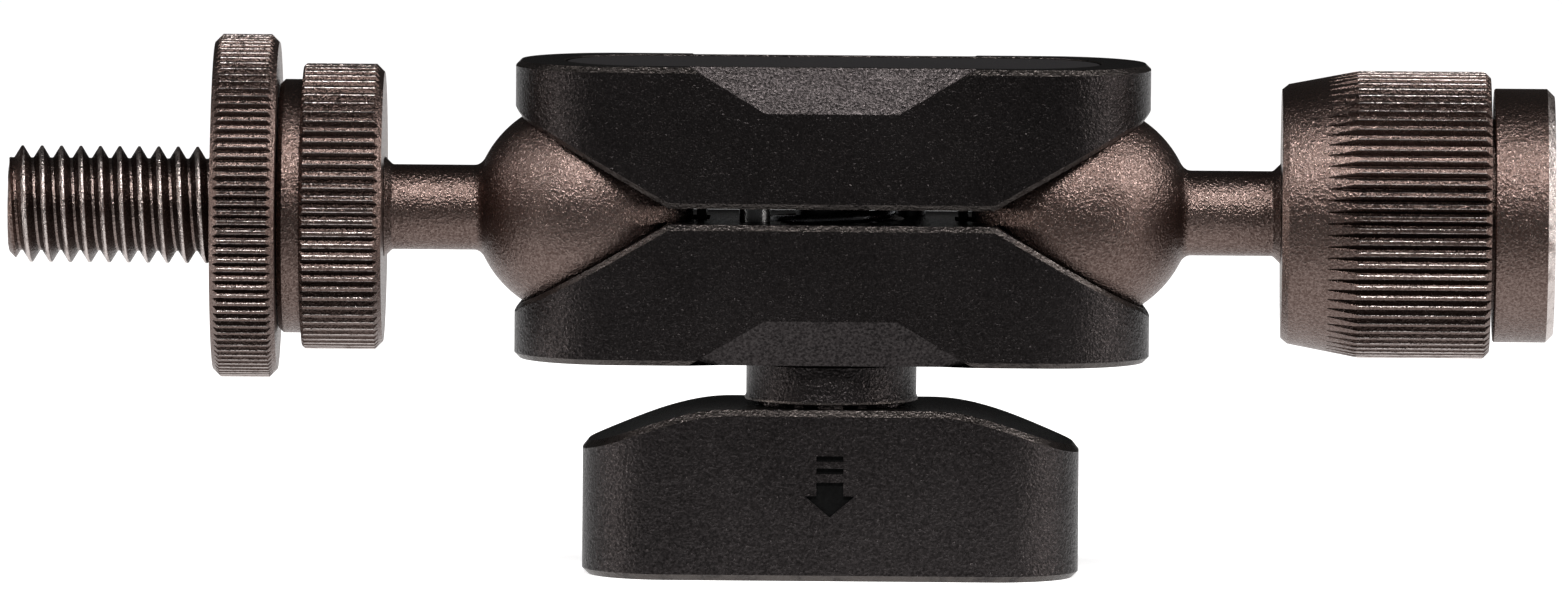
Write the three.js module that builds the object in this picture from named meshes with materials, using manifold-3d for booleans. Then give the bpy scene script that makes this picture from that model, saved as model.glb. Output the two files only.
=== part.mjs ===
// Double ball clamp arm: two ball stems held between two plates that one bar knob squeezes together.
// One stem ends in a 3/8"-16 stud with a lock ring, the other in a knurled barrel with a 3/8"-16 socket.
// Millimetres, +Z up, origin at the middle of the knob's flat base, stud end towards -X.
import * as THREE from 'three';
import { mergeVertices } from 'three/addons/utils/BufferGeometryUtils.js';
import Module from 'manifold-3d';

const wasm = await Module();
wasm.setup();

// ---------------------------------------------------------------- driving dimensions

// Balls and necks
const ballSpacing = 40.7;
const ballDiameter = 18;
const neckDiameter = 6.94;
const neckEnd = 16.22;
const neckFlare = 0.63;
const neckFlareLength = 0.67;

// Clamp plates, measured from the level of the ball centres
const plateGap = 1.3;
const plateRoof = 2.85;
const plateLip = 0.3;
const plateEnd = 5.55;
const plateEndFlat = 0.7;
const plateChamfer = 0.45;
const slotAngle = THREE.MathUtils.degToRad(30);
const slotClearance = 0.644;
const slotTipChamfer = 0.7;

// Bevelled panels cut into the long faces of both plates
const facetTopWidth = 23.3;
const facetBottomWidth = 10.8;
const facetHeight = 3.7;
const facetDepth = 1.45;
const facetCorner = 1.1;

// Cover plate let into the top
const coverLength = 43.8;
const coverMargin = 2.1;
const coverRecess = 1.1;
const coverThickness = 0.8;
const coverStandDown = 0.1;
const coverChamfer = 0.15;

// Friction bands round the balls
const bandThickness = 0.8;
const bandWidth = 4;
const bandHalfSpan = THREE.MathUtils.degToRad(78);
const tiltLimit = THREE.MathUtils.degToRad(30);
const bandEndRoom = THREE.MathUtils.degToRad(5);

// Clamp bolt, guide pins and the spring that parts the plates
const boltDiameter = 6;
const boltHeadRim = 2;
const boltHeadHeight = 4;
const boltHeadSocket = 5;
const boltHeadSocketDepth = 2.4;
const boltHubThread = 6.85;
const boltHeadChamfer = 0.4;
const boltTipChamfer = 0.6;
const pinDiameter = 2.5;
const pinLength = 12;
const pinChamfer = 0.3;
const pinGrooveWall = 2.4;
const pinSpringWall = 0.9;
const pinSpread = 0.82;
const springWire = 0.9;
const springTurns = 4;
const springInnerGap = 1.3;
const springOuterGap = 0.4;
const springPocketDepth = 2.95;

// Knob hub under the lower plate
const hubSeatGap = 0.15;
const hubFlangeHeight = 3.17;
const hubFlangeRim = 1.05;
const hubLip = 0.1;
const hubLipHeight = 0.25;
const hubWall = 1.6;
const hubEnd = 5.6;
const hubEndChamfer = 0.3;
const splineTeeth = 16;
const splineStep = 0.4;
const splineDepth = 0.6;
const washerThickness = 0.8;
const washerRecessRim = 0.05;

// Bar knob
const knobLength = 40.5;
const knobHeight = 13.95;
const knobGap = 0.33;
const knobWall = 1.3;
const knobWeb = 2.5;
const knobCornerRadius = 7;
const knobChamfer = 0.5;
const knobCrestHalf = 8.2;
const knobFallLength = 16;
const knobFall = 3.7;
const knobCapThickness = 1;
const knobCapRim = 0.4;
const knobCapChamfer = 0.2;
const ratchetWire = 0.8;
const ratchetTurns = 2.75;
const ratchetInnerGap = 0.55;
const ratchetOuterGap = 0.45;
const ratchetEndGap = 0.15;

// Hub screw and its retaining washer
const hubScrewDiameter = 5;
const hubScrewHeadRadius = 4.4;
const hubScrewHeadHeight = 2.2;
const hubScrewHeadChamfer = 0.3;
const hubScrewTipChamfer = 0.4;
const hubScrewTipGap = 1.3;
const hubScrewSocket = 3;
const hubScrewSocketDepth = 1.3;
const retainerThickness = 0.7;

// Pull arrow sunk into the knob's front; heights run from the arrow's middle
const arrowHalfWidth = 1.1;
const arrowHeadHalfWidth = 2.05;
const arrowDepth = 0.25;
const arrowMiddle = 7.85;
const arrowTop = 0.25;
const arrowShoulder = 1.1;
const arrowLength = 2.85;
const arrowBarHeight = 0.45;
const arrowBarBottoms = [0.95, 1.95];
const arrowBarCorner = 0.05;

// Stud end: knurled collar, shoulder, stud, lock ring; lengths run outwards from the ball centre
const headStart = 16.25;
const collarDiameter = 23.3;
const collarWidth = 6.6;
const collarOuterChamfer = 0.25;
const shoulderDiameter = 20.7;
const shoulderWidth = 1.9;
const shoulderChamfer = 0.4;
const stemScrewDiameter = 4;
const stemScrewLength = 10.4;
const stemScrewChamfer = 0.4;
const studDiameter = 9.525;
const threadPitch = 1.5875;
const studLength = 22.1;
const studTipChamfer = 0.9;
const studBaseDiameter = 11;
const studBaseLength = 3.6;
const studBaseInnerChamfer = 0.3;
const studBaseOuterChamfer = 0.2;
const ringDiameter = 28;
const ringWidth = 5.25;
const ringGap = 0.1;
const insertDepth = 1.9;
const insertThickness = 1.4;
const insertWall = 1.84;
const collarTeeth = 74;
const ringTeeth = 110;
const knurlDepth = 0.36;
const edgeChamfer = 0.65;

// Receiver end: knurled barrel and socket insert
const barrelDiameter = 23.4;
const barrelLength = 17;
const barrelRearDiameter = 21.2;
const barrelConeLength = 6.3;
const barrelRearChamfer = 0.4;
const barrelRearChamferLength = 0.55;
const barrelEndChamfer = 0.5;
const barrelTeeth = 74;
const barrelKnurlDepth = 0.5;
const barrelFloor = 4.2;
const barrelPocketDiameter = 14;
const barrelPocketDepth = 4.7;
const socketFlangeDiameter = 20.7;
const socketFlangeWidth = 4.9;
const socketFlangeChamfer = 0.6;
const socketSpigotDiameter = 15.8;
const socketBore = 8;
const socketMouth = 0.9;
const swivelScrewDiameter = 3;
const swivelScrewReach = 7;
const swivelScrewChamfer = 0.3;
const swivelHeadRadius = 2.8;
const swivelHeadHeight = 2.4;
const swivelSocket = 2.5;
const swivelSocketDepth = 1.3;
const swivelHoleRoom = 0.5;
const spigotShoulder = 0.47;
const spigotStand = 0.1;
const swivelWasherRadius = 5.5;
const swivelWasherThickness = 0.9;

// Clearances
const running = 0.3;
const seated = 0.2;
const boltHeadRoom = 0.4;

// How far a cutter runs past the surface that it cuts, and how far joined solids overlap
const spill = 1;
const overlap = 0.1;

// How much less than half its width the radius of a fully round end is drawn
const roundEndSlack = 0.01;

// Facets round a turned piece
const turnSegments = 32;
const boreSegments = 20;
const cornerSegments = 5;

// ---------------------------------------------------------------- derived sizes

const ballRadius = ballDiameter / 2;
const neckRadius = neckDiameter / 2;
const seatRadius = ballRadius + running;
const ballOffset = ballSpacing / 2;
const plateTop = seatRadius + plateRoof;
const plateFace = plateGap / 2;
const plateHalfDepth = ballRadius + plateLip;
const plateCornerRadius = plateHalfDepth - plateEndFlat;
const coverWidth = 2 * (plateHalfDepth - coverMargin);
const plateHalfLength = ballOffset + plateEnd;
const slotDistance = neckRadius + slotClearance;

const boltRadius = boltDiameter / 2;
const boltHeadRadius = boltRadius + boltHeadRim;
const hubBore = boltRadius + running;
const hubShank = hubBore + hubWall;
const splineRoot = hubShank + splineStep;
const splineCrest = splineRoot + splineDepth;
const hubFlangeRadius = splineCrest + hubFlangeRim;
const washerRecessRadius = hubFlangeRadius - washerRecessRim;
const ratchetRadius = hubShank + ratchetInnerGap + ratchetWire / 2;
const knobCavity = ratchetRadius + ratchetWire / 2 + ratchetOuterGap;
const knobHalfDepth = knobCavity + knobWall;
const knobCapRadius = knobCavity + knobCapRim;
const knobWebFloor = knobHeight - knobWeb;

const hubBottom = knobHeight + knobGap;
const hubTop = hubBottom + hubFlangeHeight;
const ballLevel = hubTop + hubSeatGap + plateTop;

const coverTop = plateTop - coverStandDown;
const boltHeadTop = plateTop - coverRecess - seated;
const boltHeadSeat = boltHeadTop - boltHeadHeight;
const boltEnd = hubTop - boltHubThread - ballLevel;
const springRadius = boltRadius + springInnerGap + springWire / 2;
const springPocket = springRadius + springWire / 2 + springOuterGap;
const springHalfLength = plateFace + springPocketDepth - seated;

const bandOuter = seatRadius + bandThickness;
const grooveRadius = bandOuter + running;
const pinCircle = springPocket + pinSpringWall + pinDiameter / 2;
const pinX = Math.min(ballOffset - grooveRadius - pinGrooveWall - pinDiameter / 2, pinSpread * pinCircle);
const pinY = Math.sqrt(pinCircle ** 2 - pinX ** 2);

const collarEnd = headStart + collarWidth;
const shoulderEnd = collarEnd + shoulderWidth;
const studBaseStart = shoulderEnd - studBaseLength - running;
const stemScrewEnd = neckEnd + stemScrewLength;
const ringStart = shoulderEnd + ringGap;
const ringBore = studDiameter / 2 + running;
const insertRadius = ringBore + insertWall;

const barrelEnd = headStart + barrelLength;
const barrelFloorEnd = headStart + barrelFloor;
const pocketEnd = barrelFloorEnd + barrelPocketDepth;
const spigotEnd = barrelFloorEnd + spigotStand;
const spigotRadius = neckRadius - spigotShoulder;
const swivelWasherStart = spigotEnd + seated;
const swivelHeadStart = swivelWasherStart + swivelWasherThickness + seated;
const flangeStart = barrelEnd + running;

// ---------------------------------------------------------------- materials

function finish(color, roughness, metalness) {
  return new THREE.MeshStandardMaterial({ color, roughness, metalness });
}

const bronzeAnodised = finish('#6b5a55', 0.45, 0.7);
const blackAnodised = finish('#1c1b1c', 0.55, 0.5);
const softBlack = finish('#161616', 0.7, 0);
const darkNylon = finish('#2a2826', 0.6, 0);
const zincSteel = finish('#8f9193', 0.35, 1);
const springSteel = finish('#77797c', 0.3, 1);

// ---------------------------------------------------------------- solids and cuts

function solid(geometry) {
  const bare = geometry.clone();
  bare.deleteAttribute('normal');
  bare.deleteAttribute('uv');
  const merged = mergeVertices(bare, 1e-4);
  const vertProperties = new Float32Array(merged.attributes.position.array);
  const triVerts = new Uint32Array(merged.index.array);
  return new wasm.Manifold(new wasm.Mesh({ numProp: 3, vertProperties, triVerts }));
}

function geometryOf(body) {
  const mesh = body.getMesh();
  const geometry = new THREE.BufferGeometry();
  geometry.setAttribute('position', new THREE.BufferAttribute(new Float32Array(mesh.vertProperties), 3));
  geometry.setIndex(new THREE.BufferAttribute(new Uint32Array(mesh.triVerts), 1));
  geometry.computeVertexNormals();
  return geometry;
}

function cut(body, ...tools) {
  return tools.reduce((rest, tool) => rest.subtract(tool), body);
}

function join(body, ...others) {
  return others.reduce((whole, other) => whole.add(other), body);
}

function addPiece(group, name, body, material) {
  const mesh = new THREE.Mesh(geometryOf(body), material);
  mesh.name = name;
  group.add(mesh);
  return mesh;
}

// ---------------------------------------------------------------- basic shapes

// A profile of [position, radius] points turned round +X; it starts and ends on the axis.
function turnedX(profile, segments = turnSegments) {
  const points = profile.map(([along, radius]) => new THREE.Vector2(radius, along));
  const geometry = new THREE.LatheGeometry(points, segments);
  geometry.rotateZ(-Math.PI / 2);
  return solid(geometry);
}

// The same round +Z.
function turnedZ(profile, segments = turnSegments) {
  const points = profile.map(([along, radius]) => new THREE.Vector2(radius, along));
  const geometry = new THREE.LatheGeometry(points, segments);
  geometry.rotateX(Math.PI / 2);
  return solid(geometry);
}

function rodX(radius, start, end, segments = boreSegments) {
  return turnedX([[start, 0], [start, radius], [end, radius], [end, 0]], segments);
}

function rodZ(radius, start, end, segments = boreSegments) {
  return turnedZ([[start, 0], [start, radius], [end, radius], [end, 0]], segments);
}

function ringZ(outer, inner, start, end) {
  return cut(rodZ(outer, start, end, turnSegments), rodZ(inner, start - spill, end + spill));
}

function ringX(outer, inner, start, end) {
  return cut(rodX(outer, start, end, turnSegments), rodX(inner, start - spill, end + spill));
}

// A closed outline whose corners are rounded: each point is [x, y, corner radius].
function roundedOutline(points) {
  const shape = new THREE.Shape();
  const count = points.length;
  points.forEach(([x, y, radius], index) => {
    const corner = new THREE.Vector2(x, y);
    const before = new THREE.Vector2(...points[(index + count - 1) % count].slice(0, 2));
    const after = new THREE.Vector2(...points[(index + 1) % count].slice(0, 2));
    const toBefore = before.sub(corner).normalize();
    const toAfter = after.sub(corner).normalize();
    const halfAngle = Math.acos(toBefore.dot(toAfter)) / 2;
    const reach = radius / Math.tan(halfAngle);
    const entry = corner.clone().addScaledVector(toBefore, reach);
    const exit = corner.clone().addScaledVector(toAfter, reach);
    if (index === 0) {
      shape.moveTo(entry.x, entry.y);
    } else {
      shape.lineTo(entry.x, entry.y);
    }
    if (radius > 0) {
      const bisector = toBefore.clone().add(toAfter).normalize();
      const centre = corner.clone().addScaledVector(bisector, radius / Math.sin(halfAngle));
      const startAngle = entry.clone().sub(centre).angle();
      const endAngle = exit.clone().sub(centre).angle();
      const leftTurn = toAfter.cross(toBefore) > 0;
      shape.absarc(centre.x, centre.y, radius, startAngle, endAngle, !leftTurn);
    }
  });
  shape.closePath();
  return shape;
}

function rectangleOutline(halfLength, halfWidth, cornerRadius) {
  return roundedOutline([
    [halfLength, -halfWidth, cornerRadius],
    [halfLength, halfWidth, cornerRadius],
    [-halfLength, halfWidth, cornerRadius],
    [-halfLength, -halfWidth, cornerRadius],
  ]);
}

function extruded(shape, depth, chamfer) {
  return new THREE.ExtrudeGeometry(shape, {
    depth: depth - 2 * chamfer,
    bevelEnabled: chamfer > 0,
    bevelThickness: chamfer,
    bevelSize: chamfer,
    bevelOffset: -chamfer,
    bevelSegments: 1,
    curveSegments: cornerSegments,
  }).translate(0, 0, chamfer);
}

// Outline in XY carried up +Z from bottom to top.
function columnZ(shape, bottom, top, chamfer = 0) {
  return solid(extruded(shape, top - bottom, chamfer).translate(0, 0, bottom));
}

// Outline in XZ carried along Y from -halfDepth to +halfDepth.
function slabY(shape, halfDepth, chamfer = 0) {
  const geometry = extruded(shape, 2 * halfDepth, chamfer);
  geometry.rotateX(Math.PI / 2);
  return solid(geometry.translate(0, halfDepth, 0));
}

// Outline in YZ carried along X from start to end.
function barX(shape, start, end) {
  const geometry = extruded(shape, end - start, 0);
  geometry.rotateX(Math.PI / 2);
  geometry.rotateZ(Math.PI / 2);
  return solid(geometry.translate(start, 0, 0));
}

function hexagon(acrossFlats) {
  const radius = acrossFlats / Math.sqrt(3);
  const corners = [0, 1, 2, 3, 4, 5].map((corner) => corner * Math.PI / 3);
  return new THREE.Shape(corners.map(
    (angle) => new THREE.Vector2(radius * Math.cos(angle), radius * Math.sin(angle)),
  ));
}

// A star of V-shaped teeth, the outline of a straight knurl or a fine spline.
function toothedOutline(crest, root, teeth) {
  const shape = new THREE.Shape();
  for (let point = 0; point < 2 * teeth; point += 1) {
    const radius = point % 2 === 0 ? crest : root;
    const angle = point * Math.PI / teeth;
    const x = radius * Math.cos(angle);
    const y = radius * Math.sin(angle);
    if (point === 0) {
      shape.moveTo(x, y);
    } else {
      shape.lineTo(x, y);
    }
  }
  shape.closePath();
  return shape;
}

// Straight knurl along X, trimmed to a turned profile that carries its chamfers.
function knurledX(profile, crest, depth, teeth) {
  const start = profile[0][0];
  const end = profile[profile.length - 1][0];
  const star = barX(toothedOutline(crest, crest - depth, teeth), start - spill, end + spill);
  const clear = 0.02;
  const envelope = profile.map(([along, radius]) => [along, radius > 0 ? radius + clear : 0]);
  return turnedX(envelope, teeth).intersect(star);
}

class Coil extends THREE.Curve {
  constructor(radius, bottom, top, turns) {
    super();
    Object.assign(this, { radius, bottom, top, turns });
  }

  getPoint(t, target = new THREE.Vector3()) {
    const angle = 2 * Math.PI * this.turns * t;
    const height = this.bottom + (this.top - this.bottom) * t;
    return target.set(this.radius * Math.cos(angle), this.radius * Math.sin(angle), height);
  }
}

function coilSpring(radius, wire, bottom, top, turns) {
  const section = new THREE.Shape();
  section.absarc(0, 0, wire / 2, 0, 2 * Math.PI, false);
  return solid(new THREE.ExtrudeGeometry(section, {
    steps: Math.round(turns * 12),
    curveSegments: 3,
    extrudePath: new Coil(radius, bottom + wire / 2, top - wire / 2, turns),
  }));
}

// A right-hand thread on a core along +X. Four lines follow the helix in each pitch (the two edges
// of the root and of the crest), and each end is closed by a cone to the axis, to be trimmed off.
function threadedRod(major, pitch, start, end) {
  const around = 16;
  const linesPerPitch = 4;
  const depth = 0.6134 * pitch;
  const lineRadius = [major / 2 - depth, major / 2, major / 2, major / 2 - depth];
  const lineShift = [0.125, 0.4375, 0.5625, 0.875];
  const pitches = Math.ceil((end - start) / pitch) + 3;
  const lines = linesPerPitch * pitches + 1;
  const positions = [];
  const triangles = [];
  for (let line = 0; line < lines; line += 1) {
    for (let step = 0; step < around; step += 1) {
      const angle = 2 * Math.PI * step / around;
      const turn = Math.floor(line / linesPerPitch) - 2 + step / around;
      const radius = lineRadius[line % linesPerPitch];
      const x = start + (turn + lineShift[line % linesPerPitch]) * pitch;
      positions.push(x, radius * Math.cos(angle), radius * Math.sin(angle));
    }
  }
  const vertex = (line, step) => {
    const wrapped = step === around;
    return (wrapped ? line + linesPerPitch : line) * around + (wrapped ? 0 : step);
  };
  for (let line = 0; line < lines - 1 - linesPerPitch; line += 1) {
    for (let step = 0; step < around; step += 1) {
      const a = vertex(line, step);
      const b = vertex(line, step + 1);
      const c = vertex(line + 1, step + 1);
      const d = vertex(line + 1, step);
      triangles.push(a, b, c, a, c, d);
    }
  }
  const closeEnd = (firstLine, x, outward) => {
    const hub = positions.length / 3;
    positions.push(x, 0, 0);
    const rim = [];
    for (let step = 0; step < around; step += 1) {
      rim.push(vertex(firstLine, step));
    }
    for (let back = linesPerPitch; back > 0; back -= 1) {
      rim.push(vertex(firstLine + back, 0));
    }
    rim.forEach((here, index) => {
      const next = rim[(index + 1) % rim.length];
      triangles.push(hub, ...(outward ? [here, next] : [next, here]));
    });
  };
  closeEnd(0, start - 2 * pitch, false);
  closeEnd(lines - 1 - linesPerPitch, start + (pitches - 1) * pitch, true);
  const geometry = new THREE.BufferGeometry();
  geometry.setAttribute('position', new THREE.BufferAttribute(new Float32Array(positions), 3));
  geometry.setIndex(triangles);
  return solid(geometry);
}

// ---------------------------------------------------------------- clamp plates

// Arc of a ring in the XZ plane, centred on a ball, from one angle to the other.
function sectorOutline(outer, inner, from, to) {
  const shape = new THREE.Shape();
  const steps = 16;
  for (let step = 0; step <= steps; step += 1) {
    const angle = from + (to - from) * step / steps;
    const x = outer * Math.cos(angle);
    const z = outer * Math.sin(angle);
    if (step === 0) {
      shape.moveTo(x, z);
    } else {
      shape.lineTo(x, z);
    }
  }
  for (let step = steps; step >= 0; step -= 1) {
    const angle = from + (to - from) * step / steps;
    shape.lineTo(inner * Math.cos(angle), inner * Math.sin(angle));
  }
  shape.closePath();
  return shape;
}

// Side view of the upper plate: flat underside, V-slot flanks rising outwards, upright ends.
function plateOutline() {
  const rise = slotDistance / Math.cos(slotAngle);
  const flankAt = (x) => rise + (x - ballOffset) * Math.tan(slotAngle);
  const apex = ballOffset + (plateFace - rise) / Math.tan(slotAngle);
  const tipX = plateHalfLength - slotTipChamfer;
  const tipZ = flankAt(plateHalfLength) + slotTipChamfer / 2;
  const right = [
    [apex, plateFace],
    [tipX, flankAt(tipX)],
    [plateHalfLength, tipZ],
    [plateHalfLength, plateTop],
  ];
  const left = right.map(([x, z]) => [-x, z]).reverse();
  return new THREE.Shape([...right, ...left].map(([x, z]) => new THREE.Vector2(x, z)));
}

// The wedge that cuts one bevelled panel into the front face, deepest at the top edge.
function facetCutter() {
  const half = facetBottomWidth / 2;
  const slope = (facetTopWidth - facetBottomWidth) / 2 / facetHeight;
  const topHalf = half + slope * (facetHeight + spill);
  const low = plateTop - facetHeight;
  const high = plateTop + spill;
  const trapezoid = roundedOutline([
    [half, low, facetCorner],
    [topHalf, high, 0],
    [-topHalf, high, 0],
    [-half, low, facetCorner],
  ]);
  const face = -plateHalfDepth;
  const deepest = face + facetDepth * (facetHeight + spill) / facetHeight;
  const wedge = new THREE.Shape([
    new THREE.Vector2(face - spill, low),
    new THREE.Vector2(face, low),
    new THREE.Vector2(deepest, high),
    new THREE.Vector2(face - spill, high),
  ]);
  return slabY(trapezoid, plateHalfDepth + spill).intersect(barX(wedge, -topHalf, topHalf));
}

function ballSeat(side) {
  const ball = new THREE.SphereGeometry(seatRadius, 24, 12).rotateX(Math.PI / 2);
  const grooveSpan = bandHalfSpan + tiltLimit + bandEndRoom;
  const groove = slabY(
    sectorOutline(grooveRadius, ballRadius - spill, Math.PI - grooveSpan, Math.PI + grooveSpan),
    bandWidth / 2 + running,
  );
  const seat = join(solid(ball), groove);
  return seat.rotate([0, 0, side > 0 ? 0 : 180]).translate([side * ballOffset, 0, 0]);
}

// Everything that the two plates share, in upper-plate position.
function plateBlank() {
  const side = slabY(plateOutline(), plateHalfDepth, plateChamfer);
  const plan = rectangleOutline(plateHalfLength, plateHalfDepth, plateCornerRadius);
  const footprint = columnZ(plan, plateFace - spill, plateTop, plateChamfer);
  const facet = facetCutter();
  return cut(
    side.intersect(footprint),
    ballSeat(1),
    ballSeat(-1),
    facet,
    facet.rotate([0, 0, 180]),
    rodZ(springPocket, 0, plateFace + springPocketDepth),
  );
}

// The two pins stand diagonally, so the lower plate can't be fitted the wrong way round.
function pinHoles() {
  const reach = pinLength / 2 + spill;
  const hole = rodZ(pinDiameter / 2 + seated, -reach, reach);
  return [-1, 1].map((side) => hole.translate([side * pinX, side * pinY, 0]));
}

function coverOutline(inset) {
  const halfWidth = coverWidth / 2 - inset;
  return rectangleOutline(coverLength / 2 - inset, halfWidth, halfWidth - roundEndSlack);
}

function upperPlate(blank) {
  return cut(
    blank,
    columnZ(coverOutline(0), plateTop - coverRecess, plateTop + spill),
    rodZ(boltHeadRadius + boltHeadRoom, boltHeadSeat - seated, plateTop),
    rodZ(boltRadius + running, 0, plateTop),
    ...pinHoles(),
  );
}

function lowerPlate(blank) {
  const washerRecess = washerThickness + seated;
  return cut(
    blank.rotate([180, 0, 0]),
    rodZ(boltRadius + running, -plateTop - spill, 0),
    rodZ(washerRecessRadius, -plateTop - spill, -plateTop + washerRecess),
    ...pinHoles(),
  );
}

function thrustWasher() {
  const bottom = -plateTop + seated / 2;
  return ringZ(washerRecessRadius - running, boltRadius + boltHeadRoom, bottom, bottom + washerThickness);
}

function topCover() {
  return columnZ(coverOutline(seated), coverTop - coverThickness, coverTop, coverChamfer);
}

function clampBolt() {
  const socket = columnZ(hexagon(boltHeadSocket), boltHeadTop - boltHeadSocketDepth, boltHeadTop + spill);
  const body = turnedZ([
    [boltEnd, 0],
    [boltEnd, boltRadius - boltTipChamfer],
    [boltEnd + boltTipChamfer, boltRadius],
    [boltHeadSeat, boltRadius],
    [boltHeadSeat, boltHeadRadius],
    [boltHeadTop - boltHeadChamfer, boltHeadRadius],
    [boltHeadTop, boltHeadRadius - boltHeadChamfer],
    [boltHeadTop, 0],
  ], boreSegments);
  return cut(body, socket);
}

function plateSpring() {
  return coilSpring(springRadius, springWire, -springHalfLength, springHalfLength, springTurns);
}

function guidePin(side) {
  const half = pinLength / 2;
  const radius = pinDiameter / 2;
  const pin = turnedZ([
    [-half, 0],
    [-half, radius - pinChamfer],
    [-half + pinChamfer, radius],
    [half - pinChamfer, radius],
    [half, radius - pinChamfer],
    [half, 0],
  ], boreSegments);
  return pin.translate([side * pinX, side * pinY, 0]);
}

function frictionBand() {
  const outline = sectorOutline(bandOuter, seatRadius, Math.PI - bandHalfSpan, Math.PI + bandHalfSpan);
  return slabY(outline, bandWidth / 2);
}

// ---------------------------------------------------------------- knob and its ratchet hub

function splinedColumn(crest, root, bottom, top) {
  return columnZ(toothedOutline(crest, root, splineTeeth), bottom, top);
}

function knobHub() {
  const splineStart = knobWebFloor - seated;
  const blank = turnedZ([
    [hubEnd, 0],
    [hubEnd, hubShank - hubEndChamfer],
    [hubEnd + hubEndChamfer, hubShank],
    [hubBottom, hubShank],
    [hubBottom, hubFlangeRadius + hubLip],
    [hubBottom + hubLipHeight, hubFlangeRadius + hubLip],
    [hubBottom + 2 * hubLipHeight, hubFlangeRadius],
    [hubTop, hubFlangeRadius],
    [hubTop, 0],
  ]);
  const spline = splinedColumn(splineCrest, splineRoot, splineStart, hubBottom + overlap);
  const boltBore = rodZ(hubBore, ballLevel + boltEnd - spill, hubTop + spill);
  const screwBore = rodZ(hubScrewDiameter / 2 + running, hubEnd - spill, ballLevel + boltEnd);
  return cut(join(blank, spline), boltBore, screwBore);
}

// Side view of the knob: level over the hub, falling away in half a cosine wave to each end.
function knobOutline() {
  const half = knobLength / 2;
  const steps = 9;
  const topEdge = [];
  for (let step = 0; step <= steps; step += 1) {
    const x = knobCrestHalf + (half - knobCrestHalf) * step / steps;
    const phase = Math.PI * (x - knobCrestHalf) / knobFallLength;
    topEdge.push([x, knobHeight - knobFall * (1 - Math.cos(phase)) / 2]);
  }
  const left = topEdge.map(([x, z]) => [-x, z]);
  const outline = [[half, 0], ...topEdge.reverse(), ...left, [-half, 0]];
  return new THREE.Shape(outline.map(([x, z]) => new THREE.Vector2(x, z)));
}

// Two bars and an arrow pointing down: pull the knob away to turn it back without loosening.
function pullArrow() {
  const bar = rectangleOutline(arrowHalfWidth, arrowBarHeight / 2, arrowBarCorner);
  const arrow = new THREE.Shape([
    new THREE.Vector2(0, -arrowLength),
    new THREE.Vector2(arrowHeadHalfWidth, -arrowShoulder),
    new THREE.Vector2(arrowHalfWidth, -arrowShoulder),
    new THREE.Vector2(arrowHalfWidth, 0),
    new THREE.Vector2(-arrowHalfWidth, 0),
    new THREE.Vector2(-arrowHalfWidth, -arrowShoulder),
    new THREE.Vector2(-arrowHeadHalfWidth, -arrowShoulder),
  ]);
  const place = (shape, z) => slabY(shape, arrowDepth).translate([0, -knobHalfDepth, arrowMiddle + z]);
  return [place(arrow, arrowTop), ...arrowBarBottoms.map((bottom) => place(bar, bottom))];
}

function tensionKnob() {
  const plan = rectangleOutline(knobLength / 2, knobHalfDepth, knobCornerRadius);
  const sides = slabY(knobOutline(), knobHalfDepth, knobChamfer);
  const footprint = columnZ(plan, 0, knobHeight + spill, knobChamfer);
  return cut(
    sides.intersect(footprint),
    splinedColumn(splineCrest + running, splineRoot + running, knobWebFloor - spill, knobHeight + spill),
    rodZ(knobCavity, -spill, knobWebFloor, turnSegments),
    rodZ(knobCapRadius + seated, -spill, knobCapThickness + seated, turnSegments),
    ...pullArrow(),
  );
}

function knobCap() {
  return turnedZ([
    [0, 0],
    [0, knobCapRadius - knobCapChamfer],
    [knobCapChamfer, knobCapRadius],
    [knobCapThickness, knobCapRadius],
    [knobCapThickness, 0],
  ]);
}

const retainerTop = hubEnd - seated;
const retainerBottom = retainerTop - retainerThickness;

function ratchetSpring() {
  const bottom = retainerTop + ratchetEndGap;
  return coilSpring(ratchetRadius, ratchetWire, bottom, knobWebFloor - ratchetEndGap, ratchetTurns);
}

function retainingWasher() {
  return ringZ(knobCavity - running, hubScrewDiameter / 2 + running, retainerBottom, retainerTop);
}

function hubScrew() {
  const headTop = retainerBottom - seated / 2;
  const headBottom = headTop - hubScrewHeadHeight;
  const shankEnd = ballLevel + boltEnd - hubScrewTipGap;
  const body = turnedZ([
    [headBottom, 0],
    [headBottom, hubScrewHeadRadius - hubScrewHeadChamfer],
    [headBottom + hubScrewHeadChamfer, hubScrewHeadRadius],
    [headTop, hubScrewHeadRadius],
    [headTop, hubScrewDiameter / 2],
    [shankEnd - hubScrewTipChamfer, hubScrewDiameter / 2],
    [shankEnd, hubScrewDiameter / 2 - hubScrewTipChamfer],
    [shankEnd, 0],
  ], boreSegments);
  const socketTop = headBottom + hubScrewSocketDepth;
  return cut(body, columnZ(hexagon(hubScrewSocket), headBottom - spill, socketTop));
}

// ---------------------------------------------------------------- ball stems and their heads

// Ball, neck and a short flare where the neck meets its head, along +X from the ball centre.
function stemProfile(tail) {
  const ballSteps = 10;
  const joinAngle = Math.asin(neckRadius / ballRadius);
  const profile = [];
  for (let step = 0; step <= ballSteps; step += 1) {
    const angle = Math.PI + (joinAngle - Math.PI) * step / ballSteps;
    profile.push([ballRadius * Math.cos(angle), step === 0 ? 0 : ballRadius * Math.sin(angle)]);
  }
  profile.push([neckEnd - neckFlareLength, neckRadius]);
  profile.push([neckEnd, neckRadius + neckFlare]);
  return [...profile, ...tail];
}

function studBallStem() {
  const radius = stemScrewDiameter / 2;
  return turnedX(stemProfile([
    [neckEnd, radius],
    [stemScrewEnd - stemScrewChamfer, radius],
    [stemScrewEnd, radius - stemScrewChamfer],
    [stemScrewEnd, 0],
  ]));
}

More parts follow.
